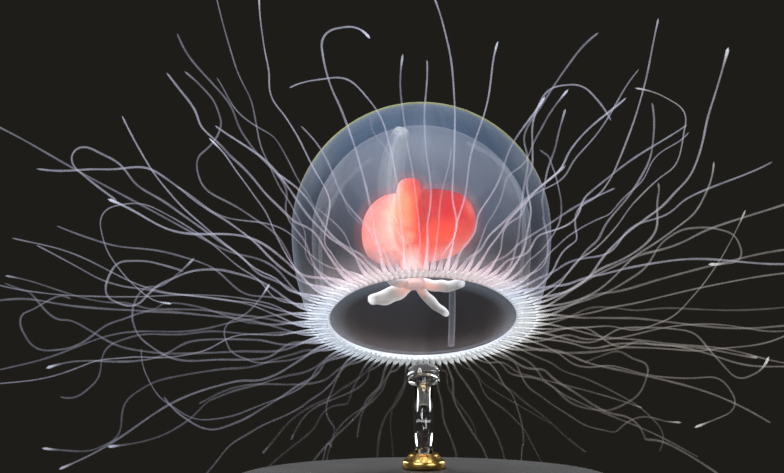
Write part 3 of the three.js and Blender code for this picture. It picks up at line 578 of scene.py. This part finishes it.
# The stomach's neck and mouth: soft muscle, red above at the right, pale at the left and at the lips.
pink_muscle, tree, place = new_finish("pink_stomach_muscle")
x, _, z = add(tree, "SeparateXYZ", {"Vector": place}).outputs
height = add(tree, "MapRange", {"Value": z, "From Min": 1.4 * MM, "From Max": 2.8 * MM})
pale = add(tree, "ValToRGB", {"Fac": height}, [(0, "#d9b3b1"), (1, "#ee8678"), (0.3, "#efaaa2")])
red = add(tree, "ValToRGB", {"Fac": height},
          [(0, "#d9b3b1"), (1, "#f0402a"), (0.25, "#efaaa0"), (0.5, "#f7694c")])
at_right = add(tree, "MapRange", {
    "Value": x, "From Min": 0.1 * MM, "From Max": 0.34 * MM}, interpolation_type="SMOOTHSTEP")
tint = add(tree, "MixRGB", {"Fac": at_right, "Color1": pale, "Color2": red})
cloud = add(tree, "TexNoise", {"Vector": place, "Scale": 3.5 / MM, "Detail": 3})
dimple = add(tree, "Bump", {"Height": cloud, "Strength": 0.3, "Distance": 0.02 * MM})
muscle = add(tree, "BsdfPrincipled", {
    "Base Color": tint, "Normal": dimple, "Roughness": 0.45, "IOR": 1.36, "Subsurface Weight": 0.3,
    "Subsurface Radius": (1, 0.5, 0.4), "Subsurface Scale": 0.2 * MM})
add(tree, "OutputMaterial", {"Surface": muscle})
neck = turned(
    "stomach_neck",
    [(0, 1.32), (0.3, 1.31), (0.46, 1.38), (0.42, 1.6), (0.45, 1.8), (0.5, 2.02), (0.56, 2.3), (0.58, 2.6),
     (0.5, 2.9), (0, 3)],
    48, pink_muscle)
neck.matrix_world = on_manubrium
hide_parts("stomach")
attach(neck, "root")


# ---- Lips ----
# Four cream tongues of soft tissue spread from the mouth. Each is a blade with thin margins that is widest
# half way along, and it is rolled a little so that its upper face looks forwards. Its margins and tip are
# white with a painted highlight.
LIPS = [
    # name, bearing, reach, drop of the tip, sideways bend, half width, half thickness, tip's share, roll,
    # and the share of its length that is pink
    ("lip_right", 356, 1.94, 0.1, 0, 0.27, 0.13, 0.9, 28, 0.66),
    ("lip_far", 62, 2.26, 0.55, -0.25, 0.22, 0.13, 0.84, 0, 0.42),
    ("lip_left", 146, 1.96, 0.35, 0.3, 0.34, 0.12, 0.8, -32, 0.48),
    ("lip_near", 214, 1.4, 0.05, 0.1, 0.24, 0.12, 0.7, -20, 0.9),
]
LIP_SIDES = 24
LIP_STEPS = 32
LIP_ROOT = 0.2  # how far its root is from the middle of the mouth
LIP_HEIGHT = 1.51
LIP_SAG = 0.2
LIP_END = 0.9  # the share of its length after which its tip rounds off


def smooth(t):
    c = min(1, max(0, t))
    return c * c * (3 - 2 * c)


def set_tones(piece, tones):
    """Gives every point of a piece three values that its finish reads as the colour called tone."""
    colours = piece.data.color_attributes.new("tone", "FLOAT_COLOR", "POINT")
    colours.data.foreach_set("color", [c for tone in tones for c in (*tone, 1)])


# Ciliated skin, greyish cream and not quite solid, pink where it leaves the mouth, with fine folds where it
# has drawn together. Along its margins and over its tip it is painted near white and made more solid, as a
# painted highlight.
cream_lip, tree, place = new_finish("cream_lip_skin")
tone = add(tree, "Attribute", attribute_name="tone")
highlight_share, pink_share, _ = add(tree, "SeparateColor", {"Color": tone}).outputs
cloud = add(tree, "TexNoise", {"Vector": place, "Scale": 2.6 / MM, "Detail": 4})
tint = add(tree, "ValToRGB", {"Fac": cloud}, [(0.3, "#7c7a78"), (0.7, "#a3a09e")])
rooted = add(tree, "MixRGB", {"Fac": pink_share, "Color1": tint, "Color2": "#efb3a4"})
highlighted = add(tree, "MixRGB", {"Fac": highlight_share, "Color1": rooted, "Color2": "#f3f5fb"})
dimple = add(tree, "Bump", {"Height": cloud, "Strength": 0.4, "Distance": 0.03 * MM})
thin = add(tree, "MapRange", {"Value": highlight_share, "To Min": 0.76, "To Max": 0.97})
lip_skin = add(tree, "BsdfPrincipled", {
    "Base Color": highlighted, "Normal": dimple, "Roughness": 0.5, "IOR": 1.36, "Alpha": thin,
    "Subsurface Weight": 0.25, "Subsurface Radius": (0.8, 0.7, 0.6), "Subsurface Scale": 0.12 * MM})
add(tree, "OutputMaterial", {"Surface": lip_skin})

for name, bearing, reach, drop, bend, half_width, half_thick, tip, roll, pink in LIPS:
    b, roll = radians(bearing), radians(roll)
    along = polar(1, b)
    across = Vector((-along.y, along.x, 0))
    path, radii, flat, tones = [], [], [], []
    for i in range(LIP_STEPS + 1):
        t = i / LIP_STEPS
        point = along * (LIP_ROOT + (reach - LIP_ROOT) * t) + across * bend * t * t
        point.z = LIP_HEIGHT - LIP_SAG * sin(pi * t) - drop * t * t + 0.02 * sin(17 * t)
        path.append(point)
        end = sqrt(max(0, 1 - ((t - LIP_END) / (1 - LIP_END)) ** 2)) if t > LIP_END else 1
        swell = 0.75 + 0.25 * sin(pi * t) + 0.04 * sin(19 * t + bearing)
        taper = 1 - (1 - tip) * smooth((t - 0.45) / 0.55)
        radii.append(max(0.01, half_width * swell * taper * end))
        flat.append(min(1, half_thick / (half_width * swell * taper)))
        for side in range(LIP_SIDES):
            # Painted highlight: white along both edges of the blade and over its tip.
            margin = abs(cos(tau * side / LIP_SIDES)) ** 4
            whitened = max(margin, smooth((t - 0.76) / 0.3))
            tones.append((whitened, 0.85 * smooth(1.1 - 1.1 * t / pink), 0))
    over = Vector((0, 0, cos(roll))) + across * sin(roll)
    lip = skin_piece("soft_" + name, tube(path, radii, LIP_SIDES, up=over, flat=flat), cream_lip)
    set_tones(lip, tones)
    lip.matrix_world = on_manubrium
    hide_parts(name)
    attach(lip, "root")


# ---- Radial canals ----
# Four fine tubes run down the inside of the bell from the stomach to the rim, just under its skin. The
# one behind is the widest.
CANALS = [(73, 0.13), (163, 0.07), (253, 0.07), (343, 0.07)]  # bearing and radius
CANAL_UNDER = 0.05  # the gap between a canal and the skin
CANAL_TOP = 62  # degrees up the dome
CANAL_CUTS = 24
CANAL_SIDES = 12
canal_jelly = jelly_finish("fine_canal_wall", ["#a9b3c6"] * 4, thin=0.05, edge=0.14, power=1.5)
for number, (bearing, radius) in enumerate(CANALS, 1):
    b = radians(bearing)
    turns = [radians(CANAL_TOP * (1 - i / CANAL_CUTS)) for i in range(CANAL_CUTS + 1)]
    r = CAVITY_RADIUS - radius - CANAL_UNDER
    track = [(r * cos(a), CAVITY_WAIST + r * sin(a)) for a in turns]
    for z in (3.1, 2.7, 2.3, 1.9, 1.5, 1.1, 0.75, 0.45):
        wall = side_radius(z, CAVITY_RADIUS, CAVITY_WAIST, CAVITY_SKIRT)
        track.append((wall - radius - CANAL_UNDER, z))
    path = [polar(r, b, z) for r, z in track]
    rings = tube(path, [radius] * len(path), CANAL_SIDES, up=Vector((0.3, 0.2, 1)))
    canal = skin_piece(f"fine_canal_{number}", rings, canal_jelly)
    canal.matrix_world = on_bell
    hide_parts(f"radial_canal_{number}")
    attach(canal, "root")


# ---- Velum ----
# A thin shelf of muscle stretches inwards from the rim and leaves a round opening in its middle.
VELUM_INNER = 2.95
VELUM_OUTER = 3.58

# Thin muscle, clearest at its free edge and cloudier towards the rim, with fine rings round it.
velum_film, tree, place = new_finish("thin_velum_muscle")
x, y, _ = add(tree, "SeparateXYZ", {"Vector": place}).outputs
flat = add(tree, "CombineXYZ", {"X": x, "Y": y})
out = add(tree, "VectorMath", {0: flat}, operation="LENGTH").outputs["Value"]
ringed = add(tree, "TexNoise", {"Vector": out, "Scale": 9 / MM, "Detail": 2})
spread = add(tree, "MapRange", {
    "Value": out, "From Min": VELUM_INNER * MM, "From Max": VELUM_OUTER * MM, "To Max": 0.2})
bands = add(tree, "MapRange", {"Value": ringed, "To Min": 0.7, "To Max": 1.3})
seen = add(tree, "Math", {0: spread, 1: bands}, operation="MULTIPLY")
film = add(tree, "BsdfPrincipled", {"Base Color": "#8f9cab", "Alpha": seen, "Roughness": 0.4, "IOR": 1.36})
add(tree, "OutputMaterial", {"Surface": film})

velum = turned(
    "velum_shelf",
    [(VELUM_OUTER, 0.2), (3.3, 0.05), (3.08, -0.03), (VELUM_INNER, -0.07), (VELUM_INNER + 0.02, -0.09),
     (3.08, -0.07), (3.3, 0), (VELUM_OUTER, 0.12)],
    120, velum_film)
velum.matrix_world = on_bell
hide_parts("velum")
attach(velum, "root")


# ---- Rim ----
# A firm white band with the nerve ring in it closes the bell, under the bulbs of the tentacles. At the
# front it stands a little higher, and the pink of the lips shines through it.
BAND_LIFT = 0.06

# Firm tissue, nearly solid: cool white with faint clouds, and a little pink in front.
firm_white, tree, place = new_finish("firm_white_rim")
cloud = add(tree, "TexNoise", {"Vector": place, "Scale": 1.8 / MM, "Detail": 4})
tint = add(tree, "ValToRGB", {"Fac": cloud}, [(0.3, "#d3def0"), (0.7, "#f3f8ff")])
_, y, _ = add(tree, "SeparateXYZ", {"Vector": place}).outputs
by_lips = add(tree, "MapRange", {"Value": y, "From Min": -2.4 * MM, "From Max": -3.3 * MM, "To Max": 0.85})
blushed = add(tree, "MixRGB", {"Fac": by_lips, "Color1": tint, "Color2": "#c9a9ac"})
dimple = add(tree, "Bump", {"Height": cloud, "Strength": 0.3, "Distance": 0.03 * MM})
band_skin = add(tree, "BsdfPrincipled", {
    "Base Color": blushed, "Normal": dimple, "Roughness": 0.45, "IOR": 1.36, "Alpha": 0.85})
add(tree, "OutputMaterial", {"Surface": band_skin})
band = turned(
    "rim_band",
    [(3.55, 0.02), (3.57, -0.03), (3.63, -0.05), (3.7, -0.05), (3.77, -0.02), (3.8, 0.02), (3.77, 0.06),
     (3.7, 0.09), (3.62, 0.09), (3.57, 0.06)],
    216, firm_white)
band.matrix_world = on_bell


def nearness(sine):
    """How near the front a place on the rim is, from the sine of its bearing: 0 to 1."""
    return smooth(-1.6 * sine - 0.5)


for vertex in band.data.vertices:
    vertex.co.z += BAND_LIFT * MM * nearness(vertex.co.y / hypot(vertex.co.x, vertex.co.y))
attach(band, "root")


# ---- Tentacles ----
# About a hundred solid threads grow from bulbs that stand side by side round the rim like the teeth
# of a comb. Each is less than a tenth of a millimetre thick, soft and contractile, with a blunt tip.
BLOCKS = 36
TENTACLES = 3 * BLOCKS
TENTACLE_ROOT = 4.34
TENTACLE_STEP = 0.25
TENTACLE_CLEAR = 0.74
UNTANGLE_PASSES = 14
EVENING_PASSES = 4
PUSH = 1.3
PUSH_OFF = 0.7
SHARED_ROOT = 2.2
LOOP_APART = 2.4  # how far along itself a tentacle counts as its own neighbour
SOLID_RADIUS = 5  # the bell's radius that the tentacles stay clear of
BELL_CLEAR = 0.45
STAND_CLEAR = 0.4  # over the stand and over the table

# Most tentacles follow from their place on the rim. Those listed here hook, loop, kink or stand up:
# place on the rim, length, slope away from the front at the root and at the tip, then the headings
# from root to tip as seen from the front (0 right, 90 up, 180 left), closer together to the tip.
POSED = {
    0: (11.6, -6, 0, 20, 18, 15, 14, 8, 0),
    1: (12.4, 2, -2, 10, 14, 11, 6, 3),
    3: (12.6, 4, 0, 3, 8, -3, 3, 14, 12),
    4: (10.6, 6, 10, -5, -2, 20, 48, 55, 62, 66),
    5: (10.8, 12, 18, -4, 2, 4, -8, -46, -54, 22, 66),
    6: (12.2, 10, 0, -9, -8, -5, 6, 25, 28),
    8: (11.4, 18, 8, -14, -18, -17, -5, 4, -64, -156, -158),
    11: (8.8, 26, 24, -25, -26, -30, -46, -112),
    13: (12, 22, 38, -44, -44, -18, 24, 70, 160, 204, 208),
    15: (10.2, 38, 20, -44, -50, -36, 0, 6, -4),
    17: (8.4, 44, 24, -54, -76, -96, -118),
    37: (8.4, 44, 20, 244, 264, 270, 238, 214),
    39: (10.4, 34, 26, 228, 221, 214, 190, 150, 128),
    40: (11.2, 30, 12, 224, 218, 204, 180, 152, 118, 92),
    42: (14.4, 24, 16, 197, 192, 190, 193, 214, 266, 206, 178, 176),
    43: (8.2, 22, 24, 206, 192, 168, 110, 22, 50, 60),
    45: (12, 18, 8, 200, 192, 184, 176, 146, 90, 28, 40, 46),
    47: (13, 12, 4, 190, 184, 182, 172, 150, 148, 152, 158),
    49: (11, 8, -8, 186, 183, 180, 178, 200, 258, 220, 168),
    52: (14.6, 4, 20, 168, 174, 181, 206, 212, 186, 120, 20, -12),
    53: (13.4, 2, 6, 166, 176, 180, 176, 170, 186, 204),
    54: (14, 0, -6, 162, 176, 181, 178, 172, 163, 160),
    55: (10.8, -6, -4, 166, 172, 175, 160, 151, 152),
    57: (12.4, -14, 14, 134, 152, 182, 206, 222, 150, 62, 2, -16, -20),
    58: (10.6, -20, -18, 150, 154, 162, 174, 160, 156),
    59: (14, -12, 8, 136, 140, 145, 152, 190, 282, 306, 322, 350),
    60: (14.6, -18, -8, 146, 150, 151, 149, 154),
    61: (14.6, -26, -20, 140, 143, 142, 138, 150, 322, 326),
    62: (11.6, -34, -20, 138, 142, 140, 128, 118, 114),
    63: (8, -30, -18, 112, 120, 116, 124, 132),
    64: (12, -30, -4, 112, 124, 146, 152, 100, 48, 88, 138, 142),
    65: (12.8, -22, -4, 130, 140, 146, 152, 176, 184, 172),
    66: (12.2, -28, -14, 108, 113, 118, 122, 132, 112),
    67: (14.6, -35, 0, 108, 114, 112, 108, 106, 103, 102),
    70: (12.2, -35, 0, 100, 106, 111, 114, 106, 98, 92),
    75: (12, -38, 5, 92, 101, 105, 110, 112, 100, 10, -50),
    78: (10.8, -38, 8, 92, 97, 104, 130, 185, 208),
    80: (9.6, -42, -10, 92, 97, 100, 82),
    83: (13.4, -38, 5, 82, 86, 89, 94, 104, 112, 114),
    92: (11.4, -36, -2, 74, 84, 91, 72, 58, 54, 38),
    93: (11, -28, 10, 70, 80, 90, 92, 66, 6, -48, -62),
    94: (7.4, -40, -30, 62, 70, 96, 134),
    95: (8.4, -36, -20, 76, 84, 80, 74),
    99: (12.2, -22, -6, 50, 60, 66, 70, 75, 80, 78),
    100: (10.2, -30, -22, 54, 54, 50, 62, 86, 100),
    101: (12.8, -14, -6, 43, 46, 47, 56, 67, 74, 76),
    102: (12, -24, -2, 44, 44, 48, 60, 74, 150, 172),
    103: (7.8, -24, -28, 38, 36, 40, 70, 106),
    104: (9.4, -10, -12, 40, 36, 28, 44, 66, 86),
    105: (13.6, -18, -4, 34, 26, 20, 18, 20, 23),
    106: (10.8, -4, -14, 16, 20, 36, 56, 34, 6, -14, -70, -172, -182),
}


def vary(k, c):
    """A repeatable value between -1 and 1 for tentacle k."""
    v = sin(k * 12.9898 + c * 78.233) * 43758.5453
    return 2 * (v % 1) - 1


def heading(a, b):
    """A direction from its bearing round the bell and its slope towards the bell's top."""
    return lean @ polar(cos(b), a, sin(b))


def on_rim(k):
    """The bearing of tentacle k in degrees, and its share in front, behind and at a side."""
    bearing = (k + 0.5) * 360 / TENTACLES
    sine = sin(radians(bearing))
    return bearing, max(0, -sine), max(0, sine), abs(cos(radians(bearing)))


def free_headings(k, steps, length):
    """Headings of a tentacle that leaves the rim in one of three tiers and sways on the way out. lift is
    its slope at the root and bend what is added by the tip, and sweep turns it sideways, in degrees."""
    bearing, front, back, beside = on_rim(k)
    lift = 7 + 8 * front - 10 * back**2 - (14 - 6 * back**2) * (k % 3 - 1) + 4 * vary(k, 1)
    bend = 10 * front - 4 * back**2 + 16 * vary(k, 3) * beside + 6 * vary(k, 7)
    twice = sin(radians(2 * bearing))
    sweep = -24 * twice * (1 if front > 0 else 0.4) + 5 * vary(k, 4)
    sway = 11 + 4 * vary(k, 5) - 5 * back**2
    sway_length = 5.2 + 1.2 * vary(k, 6) + 4 * back**2
    sway_start = radians(180 * twice + 40 * vary(k, 8))
    made = []
    for i in range(steps):
        u = (i + 0.5) / steps
        s = u * length
        swing = sway * (1 - exp(-s / 1.5))
        turn = tau * s / sway_length
        a = bearing + sweep * u + swing * sin(turn + sway_start)
        rise = lift * min(1, s / 0.8 + 0.2) + bend * u * u
        b = rise + 0.8 * swing * sin(turn / 1.27 + 1 + sway_start)
        made.append(heading(radians(a), radians(b)))
    return made


def posed_heading(pose, u):
    slope_root, slope_tip, *headings = pose[1:]
    along = u**1.4 * (len(headings) - 1)
    i = min(len(headings) - 2, int(along))
    h = radians(headings[i] + (headings[i + 1] - headings[i]) * smooth(along - i))
    e = radians(slope_root + (slope_tip - slope_root) * u)
    return Vector((cos(e) * cos(h), sin(e), cos(e) * sin(h)))


def free_line(k):
    """The middle line of tentacle k with no neighbours, in mm from the rim's centre."""
    bearing, _, back, beside = on_rim(k)
    pose = POSED.get(k)
    length = pose[0] if pose else 7.8 + 5 * beside**2 + 2.2 * back + 2 * vary(k, 2)
    steps = round(length / TENTACLE_STEP)
    point = TENTACLE_ROOT * heading(radians(bearing), 0)
    line = [point.copy()]
    for i, direction in enumerate(free_headings(k, steps, length)):
        u = (i + 0.5) / steps
        if pose:
            direction = direction.lerp(posed_heading(pose, u), smooth(u * length / SHARED_ROOT)).normalized()
        point = point + direction * (length / steps)
        line.append(point.copy())
    return line


def keep_off(point):
    """How far a point moves to be outside the bell and clear of the stand and the table."""
    own = lean.transposed() @ point
    own.z -= BELL_WAIST
    if own.z < 0:
        own.z *= SOLID_RADIUS / BELL_SKIRT
    distance = own.length + 1e-9
    move = Vector((0, 0, 0))
    inside = SOLID_RADIUS + BELL_CLEAR - distance
    if inside > 0:
        move = (lean @ own) * (PUSH_OFF * inside / distance)
    over_stand = hypot(point.x, point.y) < STAND_RADIUS + STAND_CLEAR
    lowest = (STAND_TOP + STAND_CLEAR if over_stand else STAND_CLEAR) - RIM_HEIGHT
    if point.z < lowest:
        move.z += PUSH_OFF * (lowest - point.z)
    return move


def wanted(k, i, m, j):
    """Least distance between point i of tentacle k and point j of tentacle m."""
    if k == m:
        return TENTACLE_CLEAR if abs(i - j) * TENTACLE_STEP > LOOP_APART else 0
    if k // 3 != m // 3:
        return TENTACLE_CLEAR
    return TENTACLE_CLEAR * min(1, min(i, j) * TENTACLE_STEP / SHARED_ROOT)


def untangle(lines):
    """Neighbours push each other apart until none touches another, with their roots held."""
    owners = [(k, i) for k, line in enumerate(lines) for i in range(len(line))]
    for _ in range(UNTANGLE_PASSES):
        tree = kdtree.KDTree(len(owners))
        for n, (k, i) in enumerate(owners):
            tree.insert(lines[k][i], n)
        tree.balance()
        shifts = [[] for _ in lines]
        for k, i in owners:
            point = lines[k][i]
            move, most = Vector((0, 0, 0)), 0
            for near, n, distance in tree.find_range(point, TENTACLE_CLEAR):
                push = (wanted(k, i, *owners[n]) - distance) / 2
                if push > most and distance > 1e-6:
                    most = push
                    move = (point - near) * (push / distance)
            if i * TENTACLE_STEP > 1:
                move = move + keep_off(point + move)
            shifts[k].append(move * smooth((i * TENTACLE_STEP - 0.8) / 1.6))
        for line, shift in zip(lines, shifts):
            for _ in range(EVENING_PASSES):
                inner = [(2 * b + a + c) / 4 for a, b, c in zip(shift, shift[1:], shift[2:])]
                shift = [shift[0]] + inner + [(3 * shift[-1] + shift[-2]) / 4]
            for i, move in enumerate(shift):
                line[i] = line[i] + PUSH * move
    return lines


lines = untangle([free_line(k) for k in range(TENTACLES)])


def curve_through(points, cuts):
    """A smooth curve through points, with cuts steps from each to the next."""
    made = []
    for i in range(len(points) - 1):
        a, b = points[max(0, i - 1)], points[i]
        c, d = points[i + 1], points[min(len(points) - 1, i + 2)]
        for step in range(cuts):
            t = step / cuts
            made.append(0.5 * (2 * b + t * (c - a) + t * t * (2 * a - 5 * b + 4 * c - d)
                               + t**3 * (3 * b - a - 3 * c + d)))
    return made + [points[-1]]


# The bulb at the root, from the rim's inner edge outwards: radius on the bell, half width, and how deep
# it is for its width.
BULB = [
    (3.57, 0.03, 0.9), (3.6, 0.07, 0.8), (3.67, 0.088, 0.68), (3.76, 0.09, 0.56), (3.88, 0.082, 0.5),
    (4.02, 0.074, 0.5), (4.16, 0.064, 0.54), (4.28, 0.05, 0.7),
]
BULB_INNER = BULB[0][0]
BULB_LIFT = 0.14
THREAD_RADIUS = 0.038
THREAD_SIDES = 9
THREAD_CUTS = 2
TIP_ROUND = 0.12


def thread(k):
    """The rings of one bulb and its tentacle in mm, and each ring's tone: whiteness, hue, cover. knob is
    the swollen tip that some have, stub and plump are the bulb's width and depth,
    firm_with_painted_side_shade is how white it is, less at the sides of the rim as painted shade, and fade
    is how far the white runs out along the thread."""
    bearing, front, back, beside = on_rim(k)
    right = cos(radians(bearing))
    out = heading(radians(bearing), 0)
    top = lean.col[2]
    fine = curve_through(lines[k], THREAD_CUTS)
    length = TENTACLE_STEP / THREAD_CUTS * (len(fine) - 1)
    near = nearness(back - front)
    # The hue also carries painted light: lighter threads and warm bright bulbs in front, darker bulbs at the
    # left and brighter bulbs behind.
    grey = 0.5 + 0.5 * smooth((right + back - front) / 1.6 + 0.1)
    thick = THREAD_RADIUS + 0.009 * vary(k, 9)
    cover = (0.5 + 0.6 * smooth(1.5 * front) - 0.12 * back) * (0.15 - 0.07 * vary(k, 12))
    knob = max(0, 0.8 * vary(k, 11) - 0.2)
    stub = 1 + 0.18 * (-1) ** k * beside + 0.1 * vary(k, 13) + 0.5 * (1 - beside**2)
    plump = 1 + 0.45 * near
    fade = 0.14 + 0.18 * beside**2 + 0.24 * near
    # Painted shade: the bulbs are painted less white at the two sides of the rim, and most so at the right.
    firm_with_painted_side_shade = 1 - 0.16 * beside**2 - 0.1 * max(0, right)
    lift = [BULB_LIFT * near * exp(-(((r - BULB_INNER) / 0.6) ** 2)) - 0.02 for r, _, _ in BULB]
    path = [r * out + high * top for (r, _, _), high in zip(BULB, lift)]
    radii = [w * (stub if r > 3.62 else 1) for r, w, _ in BULB]
    flat = [f * plump for _, _, f in BULB]
    white = [firm_with_painted_side_shade - (0 if r < 3.8 else 0.5 * max(0, 1.3 - stub)) for r, _, _ in BULB]
    hue = [grey - 0.5 * near] * len(BULB)
    for i, point in enumerate(fine):
        s = i * TENTACLE_STEP / THREAD_CUTS
        left = length - s
        wobble = 1 + 0.08 * vary(k * 7 + i, 10) + 0.1 * sin(2.1 * s + k)
        r = thick * (1 - 0.18 * s / length) * wobble
        r += (0.05 - thick) * exp(-s / 0.15) + 0.06 * near * exp(-(s / 0.7) ** 2)
        r *= 1 + knob * exp(-((left - 0.2) / 0.2) ** 2)
        if left < TIP_ROUND:
            r *= sqrt(max(0.02, 1 - (1 - left / TIP_ROUND) ** 2))
        path.append(point)
        radii.append(r)
        flat.append(1 - 0.25 * exp(-s / 0.2))
        tip = 0.6 * knob * exp(-((left - 0.15) / 0.3) ** 2)
        white.append(max((0.8 + 0.15 * near) * exp(-s / fade), tip))
        hue.append(grey - 0.5 * near * exp(-((s / 3.6) ** 2)))
    rings = tube(path, radii, THREAD_SIDES, up=-top, flat=flat)
    return rings, [(w, h, cover) for w, h in zip(white, hue)]


# Living thread: white and nearly solid at the bulb, clear lavender grey along its length, with faint
# thicker beads where it has drawn together. In front of the lobes it is a little pink and painted lighter, as
# painted light on its shaded side, and towards the back right grey. The bulbs' white carries painted light
# and shade round the rim: warm and bright in front, darker at the left and brighter behind.
milky_thread, tree, place = new_finish("milky_tentacle_thread")
tone = add(tree, "Attribute", attribute_name="tone")
whiteness, hue, cover = add(tree, "SeparateColor", {"Color": tone}).outputs
beads = add(tree, "TexNoise", {"Vector": place, "Scale": 1.4 / MM, "Detail": 3})
# Painted light and shade in the stops: the near stops are lighter, the left bulb stop darker and the far bulb
# stop brighter.
plain_painted_light = add(tree, "ValToRGB", {"Fac": hue}, [(0, "#dac4d0"), (1, "#b9b2ab"), (0.5, "#b4b6c9")])
bulb_painted_light = add(tree, "ValToRGB", {"Fac": hue}, [(0, "#fbeef1"), (1, "#f4faff"), (0.5, "#dfe9f6")])
whitened = add(tree, "MixRGB", {"Fac": whiteness, "Color1": plain_painted_light, "Color2": bulb_painted_light})
dimple = add(tree, "Bump", {"Height": beads, "Strength": 0.3, "Distance": 0.01 * MM})
beaded = add(tree, "MapRange", {
    "Value": beads, "From Min": 0.3, "From Max": 0.7, "To Min": 0.75, "To Max": 1.25})
faint = add(tree, "Math", {0: cover, 1: beaded}, operation="MULTIPLY")
solid = add(tree, "MapRange", {"Value": whiteness, "To Min": faint, "To Max": 0.94})
glow = add(tree, "Math", {0: whiteness, 1: 0.45}, operation="MULTIPLY")
skin = add(tree, "BsdfPrincipled", {
    "Base Color": whitened, "Normal": dimple, "Roughness": 0.5, "IOR": 1.36, "Alpha": solid,
    "Subsurface Weight": glow, "Subsurface Radius": (1, 1, 1), "Subsurface Scale": 0.12 * MM})
add(tree, "OutputMaterial", {"Surface": skin})

for quarter, side_name in enumerate(("right_far", "left_far", "left_near", "right_near")):
    made = [thread(k) for k in range(quarter * TENTACLES // 4, (quarter + 1) * TENTACLES // 4)]
    points, faces = joined(skinned(rings) for rings, _ in made)
    threads = shaped("tentacles_" + side_name, [rim_centre + p * MM for p in points], faces, milky_thread)
    set_tones(threads, [tone for _, tones in made for tone in tones for _ in range(THREAD_SIDES)])
    blocks = range(quarter * BLOCKS // 4 + 1, (quarter + 1) * BLOCKS // 4 + 1)
    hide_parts(*(f"rim_tentacles_{block:02d}" for block in blocks))
    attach(threads, "root")
